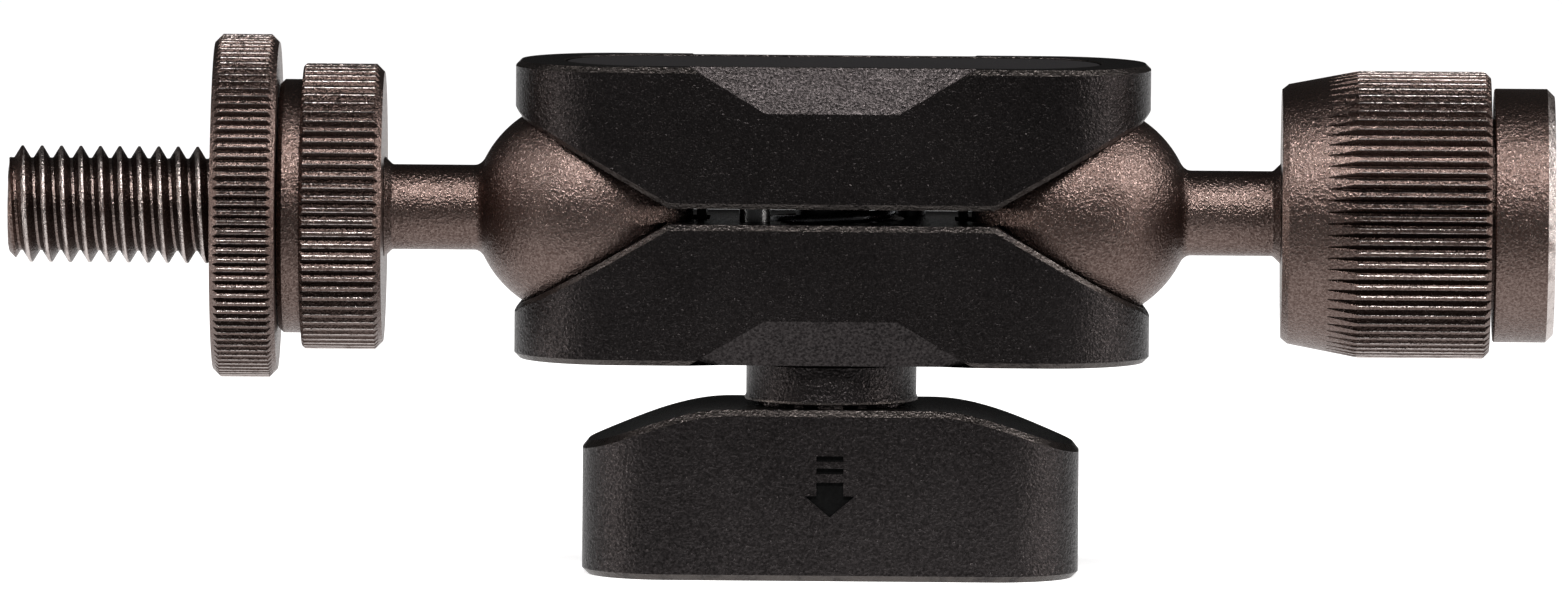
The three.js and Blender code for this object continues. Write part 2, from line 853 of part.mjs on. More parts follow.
function receiverBallStem() {
  const body = turnedX(stemProfile([
    [neckEnd, spigotRadius],
    [spigotEnd, spigotRadius],
    [spigotEnd, 0],
  ]));
  const holeEnd = spigotEnd - swivelScrewReach - swivelHoleRoom;
  const hole = rodX(swivelScrewDiameter / 2 + running, holeEnd, spigotEnd + spill);
  return cut(body, hole);
}

function chamferedProfile(start, end, radius, startChamfer, endChamfer) {
  return [
    [start, 0],
    [start, radius - startChamfer],
    [start + startChamfer, radius],
    [end - endChamfer, radius],
    [end, radius - endChamfer],
    [end, 0],
  ];
}

function studCollar() {
  const rim = collarDiameter / 2;
  const knurl = knurledX(chamferedProfile(headStart, collarEnd, rim, edgeChamfer, collarOuterChamfer),
    rim, knurlDepth, collarTeeth);
  const shoulder = turnedX(
    chamferedProfile(collarEnd - spill, shoulderEnd, shoulderDiameter / 2, 0, shoulderChamfer),
  );
  return cut(
    join(knurl, shoulder),
    rodX(stemScrewDiameter / 2 + running, headStart - spill, shoulderEnd),
    rodX(studBaseDiameter / 2 + running, studBaseStart - running, shoulderEnd + spill),
  );
}

function threadedStud() {
  const threadStart = studBaseStart + studBaseLength;
  const tip = shoulderEnd + studLength;
  const radius = studDiameter / 2;
  const clear = 0.05;
  const envelope = chamferedProfile(threadStart - overlap, tip, radius + clear, 0, studTipChamfer);
  const rod = threadedRod(studDiameter, threadPitch, threadStart - spill, tip);
  const thread = rod.intersect(turnedX(envelope));
  const base = turnedX(chamferedProfile(
    studBaseStart, threadStart, studBaseDiameter / 2, studBaseInnerChamfer, studBaseOuterChamfer,
  ));
  const bore = rodX(stemScrewDiameter / 2 + running, studBaseStart - spill, stemScrewEnd + running);
  return cut(join(base, thread), bore);
}

function lockRing() {
  const rim = ringDiameter / 2;
  const end = ringStart + ringWidth;
  const knurl = knurledX(chamferedProfile(ringStart, end, rim, edgeChamfer, edgeChamfer),
    rim, knurlDepth, ringTeeth);
  return cut(
    knurl,
    rodX(ringBore, ringStart - spill, end + spill),
    rodX(insertRadius + running, ringStart - spill, ringStart + insertDepth),
  );
}

function lockRingInsert() {
  const start = ringStart + seated;
  return ringX(insertRadius, ringBore, start, start + insertThickness);
}

function receiverBarrel() {
  const rim = barrelDiameter / 2;
  const profile = [
    [headStart, 0],
    [headStart, barrelRearDiameter / 2 - barrelRearChamfer],
    [headStart + barrelRearChamferLength, barrelRearDiameter / 2],
    [headStart + barrelConeLength, rim],
    [barrelEnd - barrelEndChamfer, rim],
    [barrelEnd, rim - barrelEndChamfer],
    [barrelEnd, 0],
  ];
  return cut(
    knurledX(profile, rim, barrelKnurlDepth, barrelTeeth),
    rodX(spigotRadius + running, headStart - spill, barrelEnd),
    rodX(barrelPocketDiameter / 2, barrelFloorEnd, barrelEnd),
    rodX(socketSpigotDiameter / 2 + running, pocketEnd, barrelEnd + spill),
  );
}

function socketInsert() {
  const spigot = rodX(socketSpigotDiameter / 2, pocketEnd + seated, flangeStart + spill, turnSegments);
  const end = flangeStart + socketFlangeWidth;
  const flange = turnedX(
    chamferedProfile(flangeStart, end, socketFlangeDiameter / 2, 0, socketFlangeChamfer),
  );
  const bore = socketBore / 2;
  const socket = turnedX([
    [pocketEnd - spill, 0],
    [pocketEnd - spill, bore],
    [end - socketMouth, bore],
    [end + overlap, bore + socketMouth + overlap],
    [end + overlap, 0],
  ], boreSegments);
  return cut(join(flange, spigot), socket);
}

function swivelWasher() {
  return ringX(swivelWasherRadius, swivelScrewDiameter / 2 + running,
    swivelWasherStart, swivelWasherStart + swivelWasherThickness);
}

function swivelScrew() {
  const radius = swivelScrewDiameter / 2;
  const headEnd = swivelHeadStart + swivelHeadHeight;
  const tip = spigotEnd - swivelScrewReach;
  const body = turnedX([
    [tip, 0],
    [tip, radius - swivelScrewChamfer],
    [tip + swivelScrewChamfer, radius],
    [swivelHeadStart, radius],
    [swivelHeadStart, swivelHeadRadius],
    [headEnd - swivelScrewChamfer, swivelHeadRadius],
    [headEnd, swivelHeadRadius - swivelScrewChamfer],
    [headEnd, 0],
  ], boreSegments);
  return cut(body, barX(hexagon(swivelSocket), headEnd - swivelSocketDepth, headEnd + spill));
}

// ---------------------------------------------------------------- assembly

const arm = new THREE.Group();

// Pieces placed about the level of the ball centres
const clamp = new THREE.Group();
clamp.position.z = ballLevel;
arm.add(clamp);

const blank = plateBlank();
addPiece(clamp, 'upper_clamp_plate', upperPlate(blank), blackAnodised);
addPiece(clamp, 'lower_clamp_plate', lowerPlate(blank), blackAnodised);
addPiece(clamp, 'top_cover', topCover(), softBlack);
addPiece(clamp, 'clamp_bolt', clampBolt(), zincSteel);
addPiece(clamp, 'guide_pin_left', guidePin(-1), zincSteel);
addPiece(clamp, 'guide_pin_right', guidePin(1), zincSteel);
addPiece(clamp, 'plate_spring', plateSpring(), springSteel);
addPiece(clamp, 'thrust_washer', thrustWasher(), darkNylon);

// Pieces placed from the knob's base
addPiece(arm, 'knob_hub', knobHub(), blackAnodised);
addPiece(arm, 'tension_knob', tensionKnob(), blackAnodised);
addPiece(arm, 'knob_cap', knobCap(), softBlack);
addPiece(arm, 'ratchet_spring', ratchetSpring(), springSteel);
addPiece(arm, 'retaining_washer', retainingWasher(), zincSteel);
addPiece(arm, 'hub_screw', hubScrew(), zincSteel);

// Stud end: its own +X runs outwards, so the group is turned to face -X
const studEnd = new THREE.Group();
studEnd.position.set(-ballOffset, 0, ballLevel);
studEnd.rotation.z = Math.PI;
arm.add(studEnd);

addPiece(studEnd, 'left_friction_band', frictionBand(), darkNylon);
addPiece(studEnd, 'stud_ball_stem', studBallStem(), bronzeAnodised);
addPiece(studEnd, 'stud_collar', studCollar(), bronzeAnodised);
addPiece(studEnd, 'threaded_stud', threadedStud(), bronzeAnodised);
addPiece(studEnd, 'lock_ring', lockRing(), bronzeAnodised);
addPiece(studEnd, 'lock_ring_insert', lockRingInsert(), darkNylon);

// Receiver end
const receiverEnd = new THREE.Group();
receiverEnd.position.set(ballOffset, 0, ballLevel);
arm.add(receiverEnd);

addPiece(receiverEnd, 'right_friction_band', frictionBand(), darkNylon);
addPiece(receiverEnd, 'receiver_ball_stem', receiverBallStem(), bronzeAnodised);
addPiece(receiverEnd, 'receiver_barrel', receiverBarrel(), bronzeAnodised);
addPiece(receiverEnd, 'socket_insert', socketInsert(), bronzeAnodised);
addPiece(receiverEnd, 'swivel_washer', swivelWasher(), zincSteel);
addPiece(receiverEnd, 'swivel_screw', swivelScrew(), zincSteel);

export default arm;
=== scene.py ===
"""Double ball clamp arm: the visual model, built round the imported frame.

Two ball stems are held between two plates that one bar knob squeezes together. Every piece is a surface
worked out on a grid of two parameters, or a profile carried round an axis or along a path. Sizes are in
metres in the panel and in millimetres inside the functions that make the shapes.
"""

import math
from types import SimpleNamespace

import bmesh
import bpy
import numpy as np
from bpy.props import FloatProperty, FloatVectorProperty, IntProperty, PointerProperty
from mathutils import Euler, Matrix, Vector


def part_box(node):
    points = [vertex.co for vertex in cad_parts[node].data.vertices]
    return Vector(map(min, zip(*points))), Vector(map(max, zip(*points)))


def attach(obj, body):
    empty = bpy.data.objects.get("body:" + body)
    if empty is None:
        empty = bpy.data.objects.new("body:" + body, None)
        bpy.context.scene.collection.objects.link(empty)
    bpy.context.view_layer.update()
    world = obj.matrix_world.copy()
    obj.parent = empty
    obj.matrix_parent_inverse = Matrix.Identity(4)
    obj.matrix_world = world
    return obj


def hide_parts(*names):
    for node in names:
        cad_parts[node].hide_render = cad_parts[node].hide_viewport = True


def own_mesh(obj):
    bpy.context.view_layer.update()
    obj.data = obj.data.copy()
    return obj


bl_info = {
    "name": "Double ball clamp arm",
    "version": (1, 0, 0),
    "blender": (4, 5, 0),
    "location": "View3D > Sidebar > Clamp arm",
    "description": "Builds the plates, knob, ball stems, stud and knurled heads of a double ball clamp arm",
    "category": "Add Mesh",
}

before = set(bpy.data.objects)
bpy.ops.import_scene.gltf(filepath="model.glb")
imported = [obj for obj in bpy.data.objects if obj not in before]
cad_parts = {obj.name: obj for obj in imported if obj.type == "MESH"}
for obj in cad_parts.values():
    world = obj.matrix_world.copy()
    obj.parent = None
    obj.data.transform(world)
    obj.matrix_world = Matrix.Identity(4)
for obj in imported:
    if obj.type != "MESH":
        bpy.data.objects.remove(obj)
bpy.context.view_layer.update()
MM = 0.001
BALL_OFFSET = 20.35  # from the clamp bolt to a ball's centre, in millimetres
FLANK_SLOPE = math.tan(math.radians(30))


def span(node, axis):
    """Lowest and highest place of a node along one axis (0, 1 or 2), in millimetres."""
    low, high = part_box(node)
    return low[axis] / MM, high[axis] / MM


# ---------------------------------------------------------------- sizes and colours a user may change


def length(name, description, default):
    """A length property: default is in millimetres, the stored value in metres."""
    return FloatProperty(
        name=name, description=description, default=default * MM, min=0.0, unit="LENGTH", precision=5
    )


def colour(name, description, default):
    return FloatVectorProperty(
        name=name, description=description, default=default, size=3, min=0.0, max=1.0, subtype="COLOR"
    )


BALL_LEVEL = sum(span("stud_ball_stem", 2)) / 2
PLATE_HALF_LENGTH = span("upper_clamp_plate", 0)[1]
PLATE_HALF_DEPTH = span("upper_clamp_plate", 1)[1]
PLATE_TOP = span("upper_clamp_plate", 2)[1] - BALL_LEVEL
PLATE_FACE = span("upper_clamp_plate", 2)[0] - BALL_LEVEL
KNOB_HALF_LENGTH = span("tension_knob", 0)[1]
RING_RADIUS = (span("lock_ring", 2)[1] - span("lock_ring", 2)[0]) / 2


class ArmPlateSizes(bpy.types.PropertyGroup):
    """The two clamp plates and the cover let into the upper one."""

    half_length: length("Half length", "From the clamp bolt to the end of a plate", PLATE_HALF_LENGTH)
    half_depth: length("Half depth", "From the clamp bolt to the long face", PLATE_HALF_DEPTH)
    end_flat: length("End flat", "Half width of the flat between the rounded corners", 0.7)
    top: length("Outer face", "Height of the outer face above the ball centres", PLATE_TOP)
    face: length("Mating face", "Height of the mating face above the ball centres", PLATE_FACE)
    chamfer: length("Edge chamfer", "Chamfer round the outer edges", 0.45)
    ball_offset: length("Ball offset", "From the clamp bolt to a ball's centre", BALL_OFFSET)
    seat: length("Seat radius", "Radius of the ball seat", 9.3)
    groove: length("Band groove", "Radius of the groove for the friction band", 10.4)
    groove_half: length("Groove half width", "Half width of the groove for the friction band", 2.45)
    groove_reach: length("Groove reach", "How far the groove runs outwards past the ball's centre", 4.06)
    rise: length("Slot rise", "Height of the slot's flank above a ball's centre", 4.75)
    tip: length("Slot tip", "Length of the chamfer at the end of a flank", 0.7)
    panel_top: length("Panel top", "Half width of a bevelled panel at the outer edge", 11.65)
    panel_bottom: length("Panel bottom", "Half width of a bevelled panel at its inner edge", 5.4)
    panel_height: length("Panel height", "Height of a bevelled panel", 3.7)
    panel_depth: length("Panel depth", "Depth of a bevelled panel at the outer edge", 1.45)
    pocket: length("Spring pocket", "Radius of the spring's pocket", 5.6)
    pocket_depth: length("Pocket depth", "Depth of the spring's pocket", 2.95)
    bore: length("Bolt bore", "Radius of the hole for the clamp bolt", 3.3)
    cover_half: length("Cover half length", "Half length of the recess for the cover", 21.9)
    cover_radius: length("Cover radius", "Radius of the recess at its round ends", 7.2)
    cover_recess: length("Cover recess", "Depth of the recess for the cover", 1.1)
    cover_thickness: length("Cover thickness", "Thickness of the cover", 0.8)
    cover_gap: length("Cover gap", "Gap round the cover", 0.16)
    washer_recess: length("Washer recess", "Radius of the recess under the lower plate", 6.9)
    washer_depth: length("Washer recess depth", "Depth of the recess under the lower plate", 1.0)
    well: length("Head well", "Radius of the well for the clamp bolt's head", 5.4)
    well_floor: length("Well floor", "Height of the well's floor above the ball centres", 6.65)
    edge_break: length("Edge break", "Broken edge round the recesses", 0.1)
    pocket_edge: length("Pocket edge", "Chamfer at the mouth of the spring's pocket", 0.25)


class ArmKnobSizes(bpy.types.PropertyGroup):
    """The bar knob and its hub."""

    half_length: length("Half length", "From the clamp bolt to the end of the bar", KNOB_HALF_LENGTH)
    half_depth: length("Half depth", "From the clamp bolt to the long face", 8.0)
    corner: length("Corner", "Radius of the upright corners", 7.0)
    height: length("Height", "Height of the bar at its middle", 13.95)
    chamfer: length("Edge chamfer", "Chamfer round the bar's edges", 0.5)
    crest: length("Level part", "Half length of the level part of the top", 8.2)
    fall: length("Fall", "Drop of the wave that the top falls away in", 3.7)
    fall_length: length("Fall length", "Length of half that wave", 16.0)
    web: length("Web floor", "Height of the underside of the splined web", 11.45)
    cavity: length("Cavity radius", "Radius of the hollow for the ratchet spring", 6.7)
    cap: length("Cap radius", "Radius of the cap in the base", 7.1)
    arrow_half: length("Arrow half width", "Half width of the pull arrow's stem", 1.1)
    arrow_head: length("Arrow head", "Half width of the pull arrow's head", 2.05)
    arrow_depth: length("Arrow depth", "Depth of the pull arrow", 0.25)
    arrow_middle: length("Arrow height", "Height of the pull arrow's middle", 7.85)
    arrow_tail: length("Arrow tail", "From the pull arrow's middle to its upper end", 2.4)
    cap_gap: length("Cap gap", "Gap round the cap in the base", 0.2)
    cap_recess: length("Cap recess", "Depth of the recess for the cap", 1.2)
    cap_thickness: length("Cap thickness", "Thickness of the cap", 1.0)
    flange: length("Hub radius", "Radius of the hub's flange", 6.95)
    flange_height: length("Hub height", "Height of the hub's flange", 3.17)
    flange_gap: length("Hub gap", "Gap between the hub's flange and the bar", 0.33)
    hub_length: length("Hub depth", "From the top of the hub to the floor of its thread", 7.85)
    teeth: IntProperty(name="Spline teeth", description="Teeth of the spline between hub and bar", default=16)
    tooth: length("Spline depth", "Depth of the spline's teeth", 0.6)
    spline: length("Hub spline", "Radius of the hub's spline at its roots", 5.3)
    spline_gap: length("Spline gap", "Gap between the hub's spline and the bar's", 0.3)


class ArmStemSizes(bpy.types.PropertyGroup):
    """The ball stems."""

    ball: length("Ball radius", "Radius of each ball", 9.0)
    neck: length("Neck radius", "Radius of the neck", 3.47)
    neck_end: length("Neck end", "From a ball's centre to the end of its neck", 16.22)
    flare: length("Flare", "How far the neck flares where it meets its head", 0.63)
    flare_length: length("Flare length", "Length of the flare", 0.67)
    root: length("Root curve", "Length along the neck of the curve where it leaves the ball", 0.95)
    band_inner: length("Band inside", "Inner radius of a friction band", 9.3)
    band_outer: length("Band outside", "Outer radius of a friction band", 10.1)
    band_half: length("Band half width", "Half width of a friction band", 2.0)
    screw: length("Stem screw", "Radius of the screw on the left stem", 2.0)
    screw_length: length("Stem screw length", "Length of the screw on the left stem", 10.4)
    pivot: length("Pivot", "Radius of the right stem's pivot", 3.0)
    pivot_end: length("Pivot end", "From a ball's centre to the end of the pivot", 20.55)
    pivot_bore: length("Pivot bore", "Radius of the hole in the pivot", 1.8)
    pivot_floor: length("Pivot bore floor", "From a ball's centre to the floor of that hole", 13.05)


class ArmHeadSizes(bpy.types.PropertyGroup):
    """The knurled heads, the stud and the socket."""

    collar: length("Collar radius", "Radius of the collar at the stud end", 11.65)
    shoulder: length("Shoulder radius", "Radius of the plain shoulder beside the collar", 10.35)
    ring: length("Lock ring radius", "Radius of the lock ring", RING_RADIUS)
    knurl: length("Knurl depth", "Depth of the knurl on the collar and the lock ring", 0.36)
    edge: length("Edge chamfer", "Chamfer beside the knurl", 0.65)
    barrel: length("Barrel radius", "Radius of the barrel", 11.7)
    barrel_rear: length("Barrel rear", "Radius at the small end of the barrel's cone", 10.6)
    barrel_knurl: length("Barrel knurl", "Depth of the knurl on the barrel", 0.5)
    head_face: length("Head face", "From a ball's centre to the collar and the barrel", 16.25)
    collar_floor: length("Collar floor", "From a ball's centre to the floor of the collar's bore", 20.7)
    collar_knurl_end: length("Collar knurl end", "From a ball's centre to where the knurl ends", 22.85)
    ring_start: length("Ring start", "From a ball's centre to the ring's inner face", 24.85)
    ring_end: length("Ring end", "From a ball's centre to the ring's outer face", 30.1)
    barrel_cone: length("Barrel cone", "Length of the barrel's cone", 5.75)
    barrel_floor: length("Barrel floor", "From a ball's centre to the floor of the barrel", 20.45)
    barrel_step: length("Barrel step", "From a ball's centre to the step in the barrel's bore", 25.15)
    barrel_end: length("Barrel end", "From a ball's centre to the end of the barrel", 33.25)
    flange: length("Socket flange", "Radius of the socket's flange", 10.35)
    stud: length("Stud radius", "Major radius of the stud's thread", 4.7625)
    stud_base: length("Stud base", "From a ball's centre to the inner end of the stud", 21.0)
    stud_start: length("Thread start", "From a ball's centre to the start of the stud's thread", 24.75)
    stud_tip: length("Stud tip", "From a ball's centre to the tip of the stud", 46.85)
    stud_rim: length("Stud base radius", "Radius of the stud's plain base", 5.5)
    stud_chamfer: length("Stud chamfer", "Chamfer of the stud's tip", 0.9)
    socket: length("Socket radius", "Minor radius of the socket's thread", 4.0)
    socket_start: length("Socket start", "From a ball's centre to the inner end of the insert", 25.35)
    socket_end: length("Socket end", "From a ball's centre to the outer end of the insert", 38.45)
    flange_face: length("Flange face", "From a ball's centre to the back of the insert's flange", 33.55)
    spigot: length("Spigot", "Radius of the insert's spigot", 7.9)
    mouth: length("Socket mouth", "Chamfer of the socket's mouth", 0.9)
    pitch: length("Thread pitch", "Pitch of the stud's and the socket's thread", 1.5875)
    collar_teeth: IntProperty(name="Collar teeth", description="Teeth on the collar", default=74)
    ring_teeth: IntProperty(name="Ring teeth", description="Teeth on the lock ring", default=110)
    barrel_teeth: IntProperty(name="Barrel teeth", description="Teeth on the barrel", default=74)


class ArmFinishes(bpy.types.PropertyGroup):
    """The colours of the finishes."""

    bronze: colour("Bronze", "Bead-blasted bronze-brown anodising", (0.165, 0.123, 0.110))
    # Painted highlight colour for the bronze's marked edges.
    bronze_painted_highlight: colour("Bronze edges", "Bronze anodising where edges are rubbed", (0.80, 0.72, 0.69))
    black: colour("Black", "Bead-blasted black anodising", (0.034, 0.030, 0.030))
    # Painted highlight colour for the black's marked edges.
    black_painted_highlight: colour("Black edges", "Black anodising where edges are rubbed", (0.12, 0.105, 0.098))
    marking: colour("Marking", "The floor of the pull arrow", (0.004, 0.004, 0.004))
    soft_black: colour("Soft black", "The cover and the knob's cap", (0.012, 0.011, 0.012))
    nylon: colour("Nylon", "The bands and the thrust washer", (0.035, 0.032, 0.030))
    zinc: colour("Zinc", "Screws, pins and washers", (0.22, 0.225, 0.23))
    spring: colour("Spring steel", "The two springs", (0.30, 0.31, 0.33))
    floor: colour("Floor", "The floor under the arm", (0.92, 0.92, 0.92))


def setting(name, description, default, unit="NONE"):
    return FloatProperty(name=name, description=description, default=default, unit=unit, precision=4)


class ArmStageSettings(bpy.types.PropertyGroup):
    """Camera, floor and lights."""

    azimuth: setting("Camera azimuth", "Turn of the camera round the arm, in degrees", 0.6)
    elevation: setting("Camera elevation", "Height of the camera in degrees", 4.4)
    roll: setting("Camera roll", "Roll of the camera in degrees", 0.42)
    distance: length("Camera distance", "From the camera to the arm", 1840.0)
    width: length("View width", "Width of the view at the arm", 127.5)
    aim_x: setting("Aim X", "Where the camera looks along the arm", -0.00416, "LENGTH")
    aim_z: setting("Aim Z", "Where the camera looks in height", 0.0226, "LENGTH")
    key: setting("Light", "Strength of all the soft boxes", 1.0)
    sweep: length("Lit floor", "How far in front of the arm the floor lights it", 34.0)
    glow: setting("Floor glow", "Light that the floor throws on the arm near by", 0.95)
    far_glow: setting("Far floor glow", "Light that the floor throws on the arm from further off", 0.04)
    white: setting("Floor white", "How bright the floor looks to the camera", 0.82)
    dark: setting("Surroundings", "Brightness of the room round the arm", 0.025)


# ---------------------------------------------------------------- surfaces


def lay_mesh(name, grids, sharp=28.0):
    """A closed mesh from grids of points in millimetres.

    Each grid is (points, close_rows, close_columns, painted_light, finish). points has the shape (rows,
    columns, 3) and each face joins four neighbours; a closed direction also joins its last line to its first.
    The fourth entry is a number per face of painted light: above nought a painted highlight on an edge, below
    nought painted shade. finish is a material slot per face. Points closer than a micrometre are merged, and
    normals are turned outwards.
    """
    points, quads, painted_light_faces, finish_faces = [], [], [], []
    offset = 0
    for grid, close_rows, close_columns, painted_light, finish in grids:
        rows, columns = grid.shape[:2]
        index = np.arange(rows * columns).reshape(rows, columns) + offset
        if close_rows:
            index = np.vstack([index, index[:1]])
        if close_columns:
            index = np.hstack([index, index[:, :1]])
        faces = np.stack([index[:-1, :-1], index[:-1, 1:], index[1:, 1:], index[1:, :-1]], axis=-1)
        quads.append(faces.reshape(-1, 4))
        painted_light_faces.append(np.broadcast_to(painted_light, faces.shape[:2]).ravel())
        finish_faces.append(np.broadcast_to(finish, faces.shape[:2]).ravel())
        points.append(grid.reshape(-1, 3))
        offset += rows * columns
    points, quads = np.concatenate(points) * MM, np.concatenate(quads)
    mesh = bpy.data.meshes.new(name)
    mesh.vertices.add(len(points))
    mesh.vertices.foreach_set("co", points.astype(np.float32).ravel())
    mesh.loops.add(quads.size)
    mesh.loops.foreach_set("vertex_index", quads.astype(np.int32).ravel())
    mesh.polygons.add(len(quads))
    mesh.polygons.foreach_set("loop_start", np.arange(0, quads.size, 4, dtype=np.int32))
    mesh.polygons.foreach_set("material_index", np.concatenate(finish_faces).astype(np.int32))
    mesh.update(calc_edges=True)
    # Per-face painted light for the finishes: above nought a painted highlight on edges, below nought painted
    # shade.
    layer = mesh.attributes.new("painted_light", "FLOAT", "FACE")
    layer.data.foreach_set("value", np.concatenate(painted_light_faces).astype(np.float32))
    solid = bmesh.new()
    solid.from_mesh(mesh)
    bmesh.ops.remove_doubles(solid, verts=solid.verts, dist=1e-6)
    bmesh.ops.dissolve_degenerate(solid, dist=1e-7, edges=solid.edges)
    bmesh.ops.recalc_face_normals(solid, faces=solid.faces)
    solid.to_mesh(mesh)
    solid.free()
    mesh.shade_smooth()
    mesh.set_sharp_from_angle(angle=math.radians(sharp))
    piece = bpy.data.objects.new(name, mesh)
    bpy.context.scene.collection.objects.link(piece)
    return piece


def soft_corners(corners, closed=False, steps=4):
    """A profile with rounded corners, and which of its strips lie on a rounding; these strips are marked for
    a painted highlight.

    Each corner is (along, radius, fillet). The fillet is the quadratic curve between the two points that lie
    the fillet's length before and after the corner, so it is (1-t)^2 A + 2t(1-t) P + t^2 C.
    """
    corner = np.array(corners, float)
    here, fillet = corner[:, :2], corner[:, 2].copy()
    before, after = np.roll(here, 1, 0) - here, np.roll(here, -1, 0) - here
    if not closed:
        fillet[[0, -1]] = 0.0
    reach_before, reach_after = np.linalg.norm(before, axis=1), np.linalg.norm(after, axis=1)
    fillet = np.minimum(fillet, 0.45 * np.minimum(reach_before, reach_after))
    start = here + before * (fillet / np.maximum(reach_before, 1e-9))[:, None]
    stop = here + after * (fillet / np.maximum(reach_after, 1e-9))[:, None]
    t = np.linspace(0, 1, steps + 1)[None, :, None]
    curve = (1 - t) ** 2 * start[:, None] + 2 * t * (1 - t) * here[:, None] + t**2 * stop[:, None]
    # Strips on a rounding are marked for a painted highlight.
    painted_light = np.zeros((len(corner), steps + 1))
    painted_light[:, :steps] = (fillet > 0)[:, None]
    painted_light = painted_light.ravel()
    return curve.reshape(-1, 2), painted_light if closed else painted_light[:-1]


def turned(along, radius, angle, centre, axis="x", way=1.0):
    """Points of a surface turned round an axis.

    Round X the place is (cx + way*along, cy + radius cos(angle), cz + radius sin(angle)); round Z it is
    (cx + radius cos(angle), cy + radius sin(angle), cz + way*along).
    """
    along, radius, angle = np.broadcast_arrays(along, radius, angle)
    across, up = radius * np.cos(angle), radius * np.sin(angle)
    place = (way * along, across, up) if axis == "x" else (across, up, way * along)
    return np.stack(place, axis=-1) + np.array(centre, float)


def turned_piece(name, corners, centre, axis="x", way=1.0, ring=False, segments=160, sharp=28.0):
    """A plain turned piece: the rounded profile carried round the axis."""
    profile, painted_light = soft_corners(corners, closed=ring)
    angle = np.arange(segments) * 2 * np.pi / segments
    points = turned(profile[:, :1], profile[:, 1:], angle[None, :], centre, axis, way)
    return lay_mesh(name, [(points, ring, True, painted_light[:, None], 0)], sharp)


def flat_ring(start, end, inner, outer, inner_edge, outer_edge):
    """The section of a washer: a rectangle whose corners have a fillet at the bore and one at the rim."""
    return [
        (start, inner, inner_edge), (start, outer, outer_edge),
        (end, outer, outer_edge), (end, inner, inner_edge),
    ]


def ball_centre(side):
    return side * BALL_OFFSET, 0, BALL_LEVEL


# ---------------------------------------------------------------- outline of the plates and the knob


def plan_stations(half_length, half_depth, corner, inner, outer, arc):
    """Stations round a rounded rectangle whose long faces carry a panel with moving sides.

    A station's place is x = a + b*edge and y = y, where edge is the panel's half width at that height, so
    that the columns of the grid follow the panel's sides. inside is 1 on the panel, and (nx, ny) points out
    of the outline. One quarter is laid out from the middle of a long face to the middle of an end, and is
    mirrored three times.
    """
    straight, end = half_length - corner, half_depth - corner
    t_in, t_out = np.linspace(0, 1, inner + 1), np.linspace(0, 1, outer + 1)
    turn = np.linspace(-np.pi / 2, 0, arc + 1)[1:]
    ends = np.linspace(-end, 0, 3)[1:]
    zeros, ones = np.zeros_like, np.ones_like
    around = straight + corner * np.cos(turn)
    a = np.concatenate([zeros(t_in), straight * t_out, around, ones(ends) * half_length])
    b = np.concatenate([t_in, 1 - t_out, zeros(turn), zeros(ends)])
    face = ones(np.concatenate([t_in, t_out])) * -half_depth
    y = np.concatenate([face, corner * np.sin(turn) - end, ends])
    nx = np.concatenate([zeros(t_in), zeros(t_out), np.cos(turn), ones(ends)])
    ny = np.concatenate([-ones(t_in), -ones(t_out), np.sin(turn), zeros(ends)])
    inside = np.concatenate([ones(t_in), zeros(t_out), zeros(turn), zeros(ends)])
    count = len(a)
    forward, backward = np.arange(count), np.arange(count - 2, -1, -1)
    order = np.concatenate([forward, backward, forward[1:], backward[:-1]])
    sign_x = np.concatenate([ones(forward), ones(backward), -ones(forward[1:]), -ones(backward[:-1])])
    sign_y = np.concatenate([ones(forward), -ones(backward), -ones(forward[1:]), ones(backward[:-1])])
    return SimpleNamespace(
        a=a[order] * sign_x,
        b=b[order] * sign_x,
        y=y[order] * sign_y,
        nx=nx[order] * sign_x,
        ny=ny[order] * sign_y,
        inside=inside[order],
        front=sign_y > 0,
        side=sign_x,
    )


def station_row(s, edge, height, inset=0.0, sunk=0.0):
    """One line of the grid: the outline moved in by inset, with the panel sunk by sunk."""
    x = s.a + s.b * edge - s.nx * inset
    y = s.y - s.ny * (inset + s.inside * sunk)
    return np.stack([x, y, np.broadcast_to(height, x.shape)], axis=-1)


def circle_row(target, radius, height):
    """A circle whose points lie in the same directions from the axis as the points of another row."""
    flat = target[:, :2] / np.linalg.norm(target[:, :2], axis=1, keepdims=True)
    radius = np.broadcast_to(radius, len(flat))
    return np.column_stack([flat * radius[:, None], np.broadcast_to(height, len(flat))])


def slot_apex(p):
    """Where the slot's flank leaves the level underside, from the bolt's axis."""
    return p.ball_offset + (p.face - p.rise) / FLANK_SLOPE


def plate_base(p, x):
    """Height of a plate's underside without its ball seats: level, then the slot's flank at 30 degrees."""
    tip = p.half_length - p.tip
    flank_tip = p.rise + (tip - p.ball_offset) * FLANK_SLOPE
    flank_end = p.rise + (p.half_length - p.ball_offset) * FLANK_SLOPE
    heights = [p.face, flank_tip, flank_end + p.tip / 2]
    return np.interp(np.abs(x), [slot_apex(p), tip, p.half_length], heights)


def seat_height_squared(p, x, y):
    """Square of the height of the seat: seat^2 - out^2 - y^2, or groove^2 - out^2 in the band's groove.

    out is the distance from the ball's centre along the arm.
    """
    out = np.abs(x) - p.ball_offset
    seat = p.seat**2 - out**2 - y**2
    in_groove = (np.abs(y) < p.groove_half) & (out < p.groove_reach)
    return np.where(in_groove, np.maximum(seat, p.groove**2 - out**2), seat)


